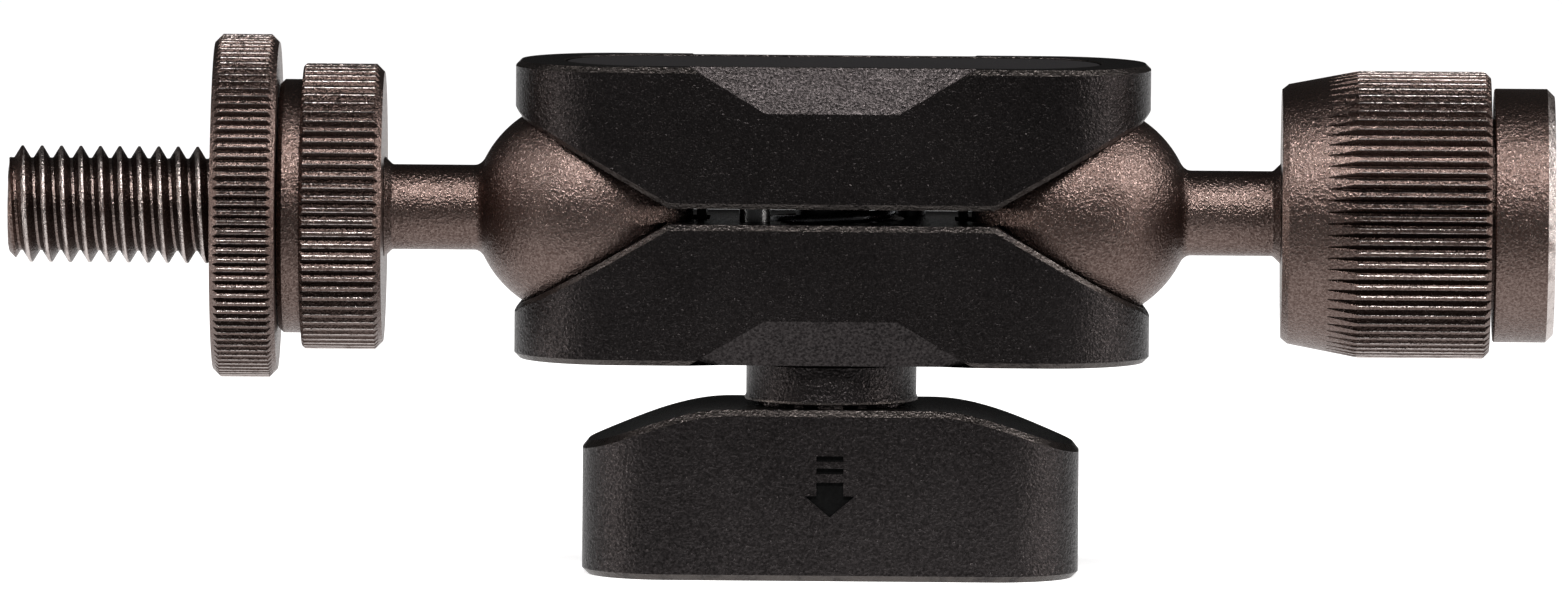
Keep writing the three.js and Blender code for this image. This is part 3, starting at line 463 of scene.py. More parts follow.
def plate_underside(p, rim):
    """Rows from the spring pocket to the rim along rays from the bolt's axis.

    Height is the greater of the base and the seat. Along each ray the rows are bunched so that whole rows
    fall on the slot's start, on the seat's edge where the ray enters and leaves it, and on the tip chamfer.
    """
    start = circle_row(rim, p.pocket, p.face)[:, :2]
    reach = rim[:, :2] - start
    t = np.linspace(0, 1, 801)
    x = start[:, :1] + reach[:, :1] * t
    y = start[:, 1:] + reach[:, 1:] * t
    excess = seat_height_squared(p, x, y) - plate_base(p, x) ** 2
    cut = excess > 0
    hit = cut.any(axis=1)
    first, last = cut.argmax(axis=1), cut.shape[1] - 1 - cut[:, ::-1].argmax(axis=1)
    line = np.arange(len(rim))

    def crossing(low):
        high = np.minimum(low + 1, len(t) - 1)
        e0, e1 = excess[line, low], excess[line, high]
        share = np.clip(e0 / np.where(np.abs(e0 - e1) < 1e-12, 1, e0 - e1), 0, 1)
        return t[low] + share * (t[high] - t[low])

    nearest = t[excess.argmax(axis=1)]
    enter = np.where(hit, crossing(np.maximum(first - 1, 0)), nearest)
    leave = np.where(hit, crossing(last), nearest)
    apex = slot_apex(p)

    def where_x(level):
        x0, x1 = np.abs(start[:, 0]), np.abs(rim[:, 0])
        return np.clip((level - x0) / np.maximum(x1 - x0, 1e-6), 0, 1)

    bend = np.where(np.abs(rim[:, 0]) > apex, where_x(apex), 1.0)
    enter = np.where(hit, enter, np.maximum(nearest, bend))
    leave = np.where(hit, leave, enter)
    stops = [np.zeros_like(enter), np.minimum(bend, enter), enter, leave]
    stops += [np.maximum(where_x(p.half_length - p.tip), leave), np.ones_like(enter)]
    rows = []
    for low, high, count, seat in zip(stops[:-1], stops[1:], (6, 4, 28, 3, 3), (0, 0, 1, 0, 0)):
        for share in np.linspace(0, 1, count, endpoint=False):
            at = low + (high - low) * share
            px, py = start[:, 0] + reach[:, 0] * at, start[:, 1] + reach[:, 1] * at
            base = plate_base(p, px)
            hollow = np.maximum(seat_height_squared(p, px, py), base**2)
            height = np.sqrt(hollow) if seat and share > 0 else base
            rows.append(np.stack([px, py, height], axis=-1))
    return rows


def stadium_row(p, s, radius, height, edge):
    """The outline of the cover's recess: two half circles joined by straight sides."""
    centre = p.cover_half - p.cover_radius
    straight = p.half_length - (p.half_depth - p.end_flat)
    x = s.b * edge + np.where(np.abs(s.nx) > 1e-9, s.side * centre, s.a * centre / straight)
    return np.stack([x + s.nx * radius, s.ny * radius, np.full_like(x, height)], axis=-1)


def plate_stations(p):
    return plan_stations(p.half_length, p.half_depth, p.half_depth - p.end_flat, 22, 12, 36)


def plate_rows(p, upper):
    """Every row of a plate, from the bolt bore over the outer face, down the wall and back underneath."""
    s = plate_stations(p)
    low_panel = p.top - p.panel_height
    grow = (p.panel_top - p.panel_bottom) / p.panel_height

    def edge_at(height):
        return p.panel_bottom + grow * np.maximum(height - low_panel, 0)

    def sunk_at(height):
        return p.panel_depth * np.maximum(height - low_panel, 0) / p.panel_height

    low_chamfer = p.edge_break + (p.chamfer - p.edge_break) * np.abs(s.ny)
    rim = station_row(s, p.panel_bottom, 0.0, low_chamfer)
    rim[:, 2] = plate_base(p, rim[:, 0])
    # The second list marks rows whose faces get a painted highlight: the chamfers and broken edges.
    rows, painted_light = [], []

    def add(row, mark=0.0):
        rows.append(row)
        painted_light.append(mark)

    inset = np.where(s.inside > 0, 0, p.chamfer)
    top_edge = station_row(s, edge_at(p.top), p.top, inset, p.panel_depth)
    if upper:
        recess = p.top - p.cover_recess
        add(circle_row(rim, p.bore, p.well_floor))
        add(circle_row(rim, p.well, p.well_floor))
        add(circle_row(rim, p.well, recess))
        add(stadium_row(p, s, p.cover_radius, recess, p.panel_top))
        add(stadium_row(p, s, p.cover_radius, p.top - p.edge_break, p.panel_top), 1.0)
        add(stadium_row(p, s, p.cover_radius + p.edge_break, p.top, p.panel_top))
    else:
        recess = p.top - p.washer_depth
        inner_rim = circle_row(rim, p.washer_recess + p.edge_break, p.top)
        add(circle_row(rim, p.bore, recess))
        add(circle_row(rim, p.washer_recess, recess))
        add(circle_row(rim, p.washer_recess, p.top - p.edge_break), 1.0)
        for share in np.linspace(0, 1, 6)[:-1]:
            add(inner_rim + (top_edge - inner_rim) * share)
    add(top_edge, 1.0 - s.inside)
    wall_top = p.top - p.chamfer
    low_edge = plate_base(p, s.a + s.b * p.panel_bottom) + low_chamfer
    middle = np.maximum(low_panel, low_edge + 0.04)
    for share in np.linspace(0, 1, 7):
        height = wall_top + (middle - wall_top) * share
        add(station_row(s, edge_at(height), height, 0.0, sunk_at(height)))
    for share in np.linspace(0, 1, 7)[1:]:
        height = middle + (low_edge - middle) * share
        add(station_row(s, p.panel_bottom, height), 1.0 if share == 1 else 0.0)
    add(rim)
    for row in plate_underside(p, rim)[:0:-1]:
        add(row)
    add(circle_row(rim, p.pocket + p.pocket_edge, p.face), 1.0)
    add(circle_row(rim, p.pocket, p.face + p.pocket_edge))
    add(circle_row(rim, p.pocket, p.face + p.pocket_depth))
    add(circle_row(rim, p.bore, p.face + p.pocket_depth))
    return np.array(rows), np.array([np.broadcast_to(mark, s.inside.shape) for mark in painted_light])


def clamp_plate(name, p, upper):
    """A clamp plate. The lower one is the same blank turned over about the arm's length."""
    rows, painted_light = plate_rows(p, upper)
    flip = 1.0 if upper else -1.0
    rows = rows * np.array([1.0, flip, flip]) + np.array([0.0, 0.0, BALL_LEVEL])
    return lay_mesh(name, [(rows, True, True, painted_light, 0)], sharp=12.0)


def cover_plate(name, p):
    """A stadium-shaped sheet: each row is the outline at one offset, down to the line between its centres."""
    s = plate_stations(p)
    radius = p.cover_radius - p.cover_gap
    top = p.top - p.edge_break
    bottom = top - p.cover_thickness
    profile, painted_light = soft_corners(
        [(0, bottom, 0), (radius, bottom, 0.1), (radius, top, 0.16), (0, top, 0)], steps=4
    )
    rows = np.array([stadium_row(p, s, r, z, p.panel_top) for r, z in profile])
    rows[..., 2] += BALL_LEVEL
    return lay_mesh(name, [(rows, False, True, painted_light[:, None], 0)])


def knob_top(k, x):
    """Height of the knob's top: level over the hub, then half a cosine wave down."""
    phase = np.pi * np.maximum(np.abs(x) - k.crest, 0) / k.fall_length
    return k.height - k.fall * (1 - np.cos(phase)) / 2


def splined(angle, teeth, root, crest):
    """Radius of a V-tooth spline: a triangle wave between root and crest."""
    phase = np.mod(angle * teeth / (2 * np.pi), 1.0)
    return crest - (crest - root) * (1 - np.abs(2 * phase - 1))


def bar_knob(name, k):
    """The bar knob: rows run from the splined bore over the top, down the wall, round the base and up inside.

    The columns of the front wall follow the sides of the sunk arrow.
    """
    s = plan_stations(k.half_length, k.half_depth, k.corner, 14, 16, 40)
    behind = ~s.front
    s.a = np.where(behind, s.a + s.b * k.arrow_half, s.a)
    s.b = np.where(behind, 0.0, s.b)
    s.inside = np.where(behind, 0.0, s.inside)
    rim = station_row(s, k.arrow_half, 0.0, k.chamfer)
    angle = np.arctan2(rim[:, 1], rim[:, 0])
    # The second list marks rows whose faces get a painted highlight on the knob's edges.
    rows, painted_light = [], []

    def add(row, mark=0.0):
        rows.append(row)
        painted_light.append(mark)

    root = k.spline + k.spline_gap
    mouth = 0.15
    spline = splined(angle, k.teeth, root, root + k.tooth)
    add(circle_row(rim, spline, k.web))
    add(circle_row(rim, spline, k.height - mouth), 1.0)
    inner = circle_row(rim, root + k.tooth + mouth, k.height)
    for share in np.linspace(0, 1, 18)[:-1]:
        row = inner + (rim - inner) * share
        row[:, 2] = knob_top(k, row[:, 0])
        add(row)
    rim[:, 2] = knob_top(k, rim[:, 0])
    add(rim, 1.0)
    wall_top = knob_top(k, s.a + s.b * k.arrow_half) - k.chamfer
    low, wide, deep = k.arrow_middle, k.arrow_half, k.arrow_depth
    upper = np.minimum(low + k.arrow_tail, wall_top - 0.02)
    for share in np.linspace(0, 1, 6)[:-1]:
        add(station_row(s, wide, wall_top + (upper - wall_top) * share))
    sunk = 0.0
    for height in (upper, low + 1.95, low + 1.4, low + 0.95, low + 0.25):
        add(station_row(s, wide, height, 0.0, sunk))
        sunk = deep - sunk
        add(station_row(s, wide, height, 0.0, sunk))
    point = 0.03
    for rise, edge, depth in (
        (-0.85, wide, deep), (-0.87, k.arrow_head, deep), (-2.58, point, deep), (-2.6, point, 0.0)
    ):
        add(station_row(s, edge, low + rise, 0.0, depth))
    sunk_rows = len(rows) - 1
    for height in np.linspace(low - 3.2, k.chamfer, 5)[:-1]:
        add(station_row(s, wide, height))
    add(station_row(s, wide, k.chamfer), 1.0)
    base = station_row(s, wide, 0.0, k.chamfer)
    add(base)
    add(circle_row(base, k.cap + k.cap_gap, 0.0))
    add(circle_row(base, k.cap + k.cap_gap, k.cap_recess))
    add(circle_row(base, k.cavity, k.cap_recess))
    add(circle_row(base, k.cavity, k.web))
    points = np.array(rows)
    floor = np.abs((k.half_depth - k.arrow_depth) + points[..., 1]) < 1e-6
    marked = floor & np.roll(floor, -1, 0) & np.roll(floor, -1, 1) & np.roll(np.roll(floor, -1, 0), -1, 1)
    marked[sunk_rows:] = False
    marked &= (np.abs(s.nx) < 1e-9)[None, :]
    return lay_mesh(name, [(points, True, True, np.array(painted_light)[:, None], marked.astype(int))])


def knob_hub(name, k):
    """The hub: a turned flange and shank, with a V-tooth spline where the knob's web sits on it.

    Each row is (height, radius, mark), the mark asking for a painted highlight, and the spline's radius is a
    triangle wave round the axis.
    """
    bottom = k.height + k.flange_gap
    top = bottom + k.flange_height
    floor = top - k.hub_length
    start, end = k.web - 0.2, 5.6
    lip, shank, thread, screw = k.flange + 0.1, 4.9, 3.3, 2.8
    samples = k.teeth * 12
    angle = np.arange(samples) * 2 * np.pi / samples
    star = splined(angle, k.teeth, k.spline, k.spline + k.tooth)
    rows = [
        (floor, thread, 0), (top, thread, 0), (top, k.flange - 0.12, 1), (top - 0.12, k.flange, 0),
        (bottom + 0.5, k.flange, 0), (bottom + 0.25, lip, 1), (bottom + 0.08, lip, 1),
        (bottom, k.flange + 0.02, 0), (bottom, star, 0), (start, star, 0),
        (start, shank, 0), (end + 0.3, shank, 0), (end, shank - 0.3, 0), (end, screw, 0), (floor, screw, 0),
    ]
    points = np.array([turned(height, radius, angle, (0, 0, 0), "z") for height, radius, _ in rows])
    painted_light = np.array([mark for *_, mark in rows], float)
    return lay_mesh(name, [(points, True, True, painted_light[:, None], 0)])


# ---------------------------------------------------------------- ball stems, knurls and threads


def ball_stem(name, b, side, tail):
    """Ball, neck and flare turned round the arm's axis.

    The radius is sqrt(ball^2 - along^2) over the ball, and a quadratic curve joins it to the neck.
    """
    join = math.asin(b.neck / b.ball) + 0.09
    sweep = np.linspace(np.pi, join, 72)
    ball = np.column_stack([b.ball * np.cos(sweep), b.ball * np.sin(sweep)])
    ball[0, 1] = 0.0
    leave = b.ball * math.cos(join)
    t = np.linspace(0, 1, 9)[1:, None]
    meet = np.array([math.sqrt(b.ball**2 - b.neck**2), b.neck])
    land = np.array([leave + b.root, b.neck])
    fillet = (1 - t) ** 2 * ball[-1] + 2 * t * (1 - t) * meet + t**2 * land
    flare = b.neck_end - b.flare_length
    neck = [(leave + b.root + 0.25, b.neck, 0), (flare - 0.3, b.neck, 0.15), (flare, b.neck, 0.2)]
    neck += [(b.neck_end - 0.02, b.neck + b.flare, 0.05)]
    rest, _ = soft_corners(neck + tail, steps=3)
    profile = np.vstack([ball, fillet, rest])
    angle = np.arange(144) * 2 * np.pi / 144
    points = turned(profile[:, :1], profile[:, 1:], angle[None, :], ball_centre(side), "x", side)
    return lay_mesh(name, [(points, False, True, 0.0, 0)])


TOOTH_PHASES = np.array([0.0, 0.13, 0.19, 0.42, 0.46, 0.54, 0.58, 0.81, 0.87])
TOOTH_HEIGHTS = np.array([1.0, 1.0, 0.90, 0.07, 0.0, 0.0, 0.07, 0.90, 1.0])
# Painted light per column of a tooth: a painted highlight on the crest's edges, painted shade on the flanks
# and root and a little on the crest top.
TOOTH_PAINTED_LIGHT = np.array([-0.15, 1.0, -0.6, -0.9, -1.0, -0.9, -0.6, 1.0, -0.15])


def knurl_columns(teeth, rim, depth, half_turn=0.5):
    """Angles, radii and painted light of a straight knurl, a trapezoid wave between rim - depth and rim."""
    turn = (np.arange(teeth)[:, None] + half_turn + TOOTH_PHASES[None, :]).ravel() / teeth
    radius = rim - depth * (1 - np.tile(TOOTH_HEIGHTS, teeth))
    return 2 * np.pi * turn, radius, np.tile(TOOTH_PAINTED_LIGHT, teeth)


def chamfered_end(face, way, tooth, rim, chamfer, length=None):
    """Two rows where a chamfer or cone cuts the teeth: the face's edge, and where each column meets a tooth.

    The cone's radius grows evenly over its length, so low columns reach it sooner.
    """
    edge = np.minimum(tooth, rim - chamfer)
    slope = (length or chamfer) / chamfer
    return [(face, edge), (face + way * slope * np.maximum(tooth - (rim - chamfer), 0), tooth)]


def knurled_head(name, side, teeth, rim, depth, lead, first, second, inner):
    """A knurled ring with a bore.

    lead rows run up to the knurl, first and second are the knurl's chamfered ends, each (face, chamfer) and
    perhaps its length, and inner rows come back through the bore.
    """
    angle, tooth, painted_light = knurl_columns(teeth, rim, depth)
    ends = chamfered_end(first[0], 1, tooth, rim, *first[1:])
    ends += chamfered_end(second[0], -1, tooth, rim, *second[1:])[::-1]
    rows = lead + ends + inner
    along = np.array([np.broadcast_to(z, tooth.shape) for z, _ in rows])
    radius = np.array([np.broadcast_to(r, tooth.shape) for _, r in rows])
    points = turned(along, radius, angle[None, :], ball_centre(side), "x", side)
    # The faces along the knurl carry the teeth's painted highlight and painted shade.
    marks = np.zeros((len(rows), len(angle)))
    marks[len(lead) + 1] = painted_light
    return lay_mesh(name, [(points, True, True, marks, 0)], sharp=24.0)


def thread_wave(phase, minor, major):
    """Radius over one pitch: root flat, flank, crest flat and flank, with softened corners."""
    stops = [0, 0.06, 0.09, 0.43, 0.46, 0.54, 0.57, 0.91, 0.94, 1.0]
    heights = [0, 0, 0.05, 0.96, 1.0, 1.0, 0.96, 0.05, 0, 0]
    return minor + (major - minor) * np.interp(np.mod(phase, 1.0), stops, heights)


THREAD_PHASES = np.array([0, 0.06, 0.09, 0.20, 0.32, 0.43, 0.46, 0.50, 0.54, 0.57, 0.68, 0.80, 0.91, 0.94])


def helix_rows(start, end, pitch, minor, major, start_radius, end_radius, limit):
    """Rows that follow a right-hand thread from start to end.

    Row and column give along = pitch * (phase + turn), so each row climbs one pitch per turn and the last
    column meets the first a pitch further on. Rows past an end lie in that end's plane, and their radius
    runs on to start_radius or end_radius within one pitch. limit(along, radius) trims the crest.
    """
    columns = 97
    turn = np.linspace(0, 1, columns)
    pitches = int(np.ceil((end - start) / pitch)) + 5
    phase = (np.arange(pitches)[:, None] + THREAD_PHASES[None, :]).ravel()
    free = start + pitch * (phase[:, None] - 3 + turn[None, :])
    along = np.clip(free, start, end)
    radius = limit(along, thread_wave((along - start) / pitch - turn[None, :], minor, major))
    before = np.clip((start - free) / pitch, 0, 1)
    after = np.clip((free - end) / pitch, 0, 1)
    radius = radius + (start_radius - radius) * before
    radius = radius + (end_radius - radius) * after
    return along, radius, 2 * np.pi * turn


def stack_levels(levels, columns):
    """The places and radii of level rows, each given as (along, radius)."""
    along, radius = np.array(levels, float).T[:, :, None] * np.ones(columns)
    return along, radius


def threaded_stud(name, h):
    """The stud: a plain base, a right-hand 60 degree thread and a chamfered tip."""
    minor = h.stud - 0.6134 * h.pitch
    start, tip, base, rim = h.stud_start, h.stud_tip, h.stud_base, h.stud_rim
    inside = rim - 0.3

    def limit(along, radius):
        return np.minimum(radius, np.minimum(h.stud, h.stud - h.stud_chamfer + (tip - along)))

    along, radius, angle = helix_rows(start, tip, h.pitch, minor, h.stud, inside, 0.0, limit)
    lead = [
        (base, 0), (base, inside), (base + 0.3, rim), (start - 0.2, rim), (start, rim - 0.2), (start, inside)
    ]
    lead_along, lead_radius = stack_levels(lead, len(angle))
    along, radius = np.vstack([lead_along, along]), np.vstack([lead_radius, radius])
    points = turned(along, radius, -angle[None, :], ball_centre(-1), "x", -1.0)
    # Painted highlight on the thread's crest and, weaker, on its root; painted shade on the flanks; none on
    # the plain base or near the tip.
    depth = (h.stud - radius[:-1]) / (h.stud - minor)
    painted_highlight_and_shade = np.where(depth > 0.97, 0.2, np.clip(1.0 - 5.0 * depth, -0.6, 1.0))
    marks = np.where(along[:-1] > start + 0.01, painted_highlight_and_shade, 0.0)[:, :-1]
    marks[along[:-1, :-1] > tip - 1.2] = 0.0
    return lay_mesh(name, [(points, False, False, marks, 0)], sharp=24.0)


def socket_insert(name, h):
    """The socket insert: flange and spigot outside, a right-hand thread inside with a chamfered mouth."""
    major = h.socket + 0.5413 * h.pitch
    start, end, face = h.socket_start, h.socket_end, h.flange_face
    edge, small = 0.6, h.spigot - 0.2

    def limit(along, radius):
        return np.maximum(radius, h.socket + h.mouth - (end - along))

    along, radius, angle = helix_rows(start, end, h.pitch, h.socket, major, small, h.flange - edge, limit)
    outer = [
        (end, h.flange - edge), (end - edge, h.flange), (face + 0.1, h.flange), (face, h.flange - 0.1),
        (face, h.spigot), (start + 0.2, h.spigot), (start, small),
    ]
    outer_along, outer_radius = stack_levels(outer, len(angle))
    along, radius = np.vstack([along, outer_along]), np.vstack([radius, outer_radius])
    # The row at the flange's outer edge gets a painted highlight.
    marks = np.zeros(len(along))
    marks[-len(outer)] = 1.0
    points = turned(along, radius, angle[None, :], ball_centre(1), "x", 1.0)
    return lay_mesh(name, [(points, True, False, marks[:, None], 0)], sharp=24.0)


# ---------------------------------------------------------------- springs, bands, screws


def coil_spring(name, mean, wire, bottom, top, turns, ends=0.8):
    """A coil spring: a circle of the wire's radius carried along a helix, nearly level over its end turns."""
    count = int(turns * 40)
    turn = np.linspace(0, turns, count + 1)
    lie = wire * 1.02
    level = np.minimum(turn, ends) + np.minimum(np.maximum(turn - (turns - ends), 0), ends)
    climb = (top - bottom - wire - 2 * ends * lie) / (turns - 2 * ends)
    height = bottom + wire / 2 + level * lie + (turn - level) * climb
    angle = 2 * np.pi * turn
    radial = np.stack([np.cos(angle), np.sin(angle), 0 * angle], axis=-1)
    path = radial * mean + np.stack([0 * angle, 0 * angle, height], axis=-1)
    ahead = np.gradient(path, axis=0)
    ahead /= np.linalg.norm(ahead, axis=1, keepdims=True)
    up = np.cross(radial, ahead)
    round_wire = np.arange(14)[None, :, None] * 2 * np.pi / 14
    girth = np.concatenate([[0, 0.8], np.full(count - 1, 1.0), [0.8, 0]])[:, None, None] * wire / 2
    path = np.concatenate([path[:1], path, path[-1:]])
    radial = np.concatenate([radial[:1], radial, radial[-1:]])
    up = np.concatenate([up[:1], up, up[-1:]])
    across = np.cos(round_wire) * radial[:, None] + np.sin(round_wire) * up[:, None]
    return lay_mesh(name, [(path[:, None] + girth * across, False, True, 0.0, 0)], sharp=40.0)


def friction_band(name, b, side):
    """A band of rectangular section carried along an arc round the ball's cross axis, closed at both ends."""
    reach = math.radians(78)
    half, inner, outer = b.band_half, b.band_inner, b.band_outer
    corners = [(-half, inner, 0.15), (half, inner, 0.15), (half, outer, 0.15), (-half, outer, 0.15)]
    section, _ = soft_corners(corners, closed=True)
    sweep = np.linspace(np.pi - reach, np.pi + reach, 64)
    middle = section.mean(axis=0)
    size = np.concatenate([[0.0, 1.0], np.ones(62), [1.0, 0.0]])
    sweep = np.concatenate([sweep[:1], sweep, sweep[-1:]])
    across = middle[0] + (section[None, :, 0] - middle[0]) * size[:, None]
    radius = middle[1] + (section[None, :, 1] - middle[1]) * size[:, None]
    x = side * (BALL_OFFSET + radius * np.cos(sweep)[:, None])
    points = np.stack([x, across + 0 * x, BALL_LEVEL + radius * np.sin(sweep)[:, None]], axis=-1)
    return lay_mesh(name, [(points, False, True, 0.0, 0)])


def screw_profile(tip, under, top, shank, head, mouth, edges):
    """The profile of a headed screw from its tip, under its head, to the mouth of its socket."""
    tip_edge, root_edge, head_edge = edges
    return [
        (tip, 0, 0), (tip, shank, tip_edge), (under, shank, root_edge), (under, head, 0.1),
        (top, head, head_edge), (top, mouth, 0),
    ]


def socket_screw(name, profile, centre, axis, across_flats, depth):
    """A screw with a hexagon socket in its last face.

    The profile is turned. The socket's radius at an angle is half the width across its flats over the cosine
    of the angle from the nearest flat.
    """
    angle = np.arange(96) * 2 * np.pi / 96
    hexagon = across_flats / 2 / np.cos(np.mod(angle, np.pi / 3) - np.pi / 6)
    tip, face = profile[0][0], profile[-1][0]
    inward = np.sign(tip - face)
    edge, drill = 0.15, 0.5
    outside, painted_light = soft_corners(profile, steps=3)
    rows = [(along, radius) for along, radius in outside] + [
        (face, hexagon + edge), (face + inward * edge, hexagon), (face + inward * depth, hexagon),
        (face + inward * (depth + drill), 0),
    ]
    points = np.array([turned(along, radius, angle, centre, axis) for along, radius in rows])
    # The fillets and the socket's edge chamfer get a painted highlight.
    marks = np.concatenate([painted_light, [0, 1, 0, 0]])
    return lay_mesh(name, [(points, False, True, marks[:, None], 0)])


# ---------------------------------------------------------------- finishes


def node_group(name, inputs, outputs):
    """An empty shader group with float, colour or vector sockets."""
    group = bpy.data.node_groups.new(name, "ShaderNodeTree")
    for label, kind, default in inputs:
        socket = group.interface.new_socket(name=label, in_out="INPUT", socket_type=f"NodeSocket{kind}")
        if default is not None:
            socket.default_value = default
    for label, kind in outputs:
        group.interface.new_socket(name=label, in_out="OUTPUT", socket_type=f"NodeSocket{kind}")
    return group, group.nodes.new("NodeGroupInput"), group.nodes.new("NodeGroupOutput")


def stretched(nodes, links, value, low, high):
    """A value stretched from low..high to 0..1."""
    node = nodes.new("ShaderNodeMapRange")
    node.inputs["From Min"].default_value = low
    node.inputs["From Max"].default_value = high
    links.new(value, node.inputs["Value"])
    return node.outputs["Result"]


def math_node(nodes, links, operation, first, second, clamp=False):
    node = nodes.new("ShaderNodeMath")
    node.operation = operation
    node.use_clamp = clamp
    for socket, value in zip(node.inputs, (first, second)):
        if isinstance(value, (int, float)):
            socket.default_value = value
        else:
            links.new(value, socket)
    return node.outputs[0]


def blast_grain():
    """Bead-blasted grain: a fine and a coarser noise, added up for height and stretched for glints."""
    group, enter, leave = node_group(
        "blast_grain",
        [("Place", "Vector", None), ("Scale", "Float", 4600.0), ("Detail", "Float", 2.0)],
        [("Height", "Float"), ("Glint", "Float")],
    )
    nodes, links = group.nodes, group.links
    fine, coarse = nodes.new("ShaderNodeTexNoise"), nodes.new("ShaderNodeTexNoise")
    for noise, share in ((fine, 1.0), (coarse, 0.45)):
        links.new(enter.outputs["Place"], noise.inputs["Vector"])
        links.new(math_node(nodes, links, "MULTIPLY", enter.outputs["Scale"], share), noise.inputs["Scale"])
        links.new(enter.outputs["Detail"], noise.inputs["Detail"])
        noise.inputs["Roughness"].default_value = 0.6
    low = math_node(nodes, links, "MULTIPLY", coarse.outputs["Fac"], 0.8)
    links.new(math_node(nodes, links, "ADD", fine.outputs["Fac"], low), leave.inputs["Height"])
    links.new(stretched(nodes, links, fine.outputs["Fac"], 0.36, 0.64), leave.inputs["Glint"])
    return group


def tone_drift():
    """A slow change of tone over a piece, as dye takes unevenly: one broad noise stretched to 0..1."""
    group, enter, leave = node_group(
        "tone_drift", [("Place", "Vector", None), ("Scale", "Float", 90.0)], [("Tone", "Float")]
    )
    nodes, links = group.nodes, group.links
    noise = nodes.new("ShaderNodeTexNoise")
    links.new(enter.outputs["Place"], noise.inputs["Vector"])
    links.new(enter.outputs["Scale"], noise.inputs["Scale"])
    noise.inputs["Detail"].default_value = 3.0
    links.new(stretched(nodes, links, noise.outputs["Fac"], 0.3, 0.7), leave.inputs["Tone"])
    return group


def painted_edge_light():
    """Painted highlight on edges: the piece's per-face painted light above nought, broken up by noise. Below
    nought it gives painted shade.
    """
    group, enter, leave = node_group(
        "painted_edge_light", [("Place", "Vector", None), ("Scale", "Float", 700.0), ("Amount", "Float", 0.7)],
        [("Mask", "Float"), ("PaintedShade", "Float")],
    )
    nodes, links = group.nodes, group.links
    edge = nodes.new("ShaderNodeAttribute")
    edge.attribute_name = "painted_light"
    noise = nodes.new("ShaderNodeTexNoise")
    links.new(enter.outputs["Place"], noise.inputs["Vector"])
    links.new(enter.outputs["Scale"], noise.inputs["Scale"])
    noise.inputs["Detail"].default_value = 4.0
    patches = stretched(nodes, links, noise.outputs["Fac"], 0.22, 0.5)
    # Marks above nought, broken up by noise, give the painted highlight; marks below nought give painted
    # shade.
    raised = math_node(nodes, links, "MAXIMUM", edge.outputs["Fac"], 0.0)
    broken = math_node(nodes, links, "MULTIPLY", raised, patches)
    sunk = math_node(nodes, links, "MULTIPLY", edge.outputs["Fac"], -1.0, clamp=True)
    links.new(sunk, leave.inputs["PaintedShade"])
    links.new(math_node(nodes, links, "MULTIPLY", broken, enter.outputs["Amount"]), leave.inputs["Mask"])
    return group


def lathe_lines():
    """Fine turning lines round the arm's axis: a wave along X."""
    group, enter, leave = node_group(
        "lathe_lines", [("Place", "Vector", None), ("Scale", "Float", 2600.0)], [("Height", "Float")]
    )
    wave = group.nodes.new("ShaderNodeTexWave")
    wave.inputs["Distortion"].default_value = 1.5
    wave.inputs["Detail"].default_value = 2.0
    group.links.new(enter.outputs["Place"], wave.inputs["Vector"])
    group.links.new(enter.outputs["Scale"], wave.inputs["Scale"])
    group.links.new(wave.outputs["Fac"], leave.inputs["Height"])
    return group


def mixed(nodes, links, factor, low, high):
    """A colour mixed from low to high, each a shade or a socket, by a factor."""
    node = nodes.new("ShaderNodeMix")
    node.data_type = "RGBA"
    links.new(factor, node.inputs["Factor"])
    for label, shade in (("A", low), ("B", high)):
        if isinstance(shade, tuple):
            node.inputs[label].default_value = (*shade, 1)
        else:
            links.new(shade, node.inputs[label])
    return node.outputs["Result"]


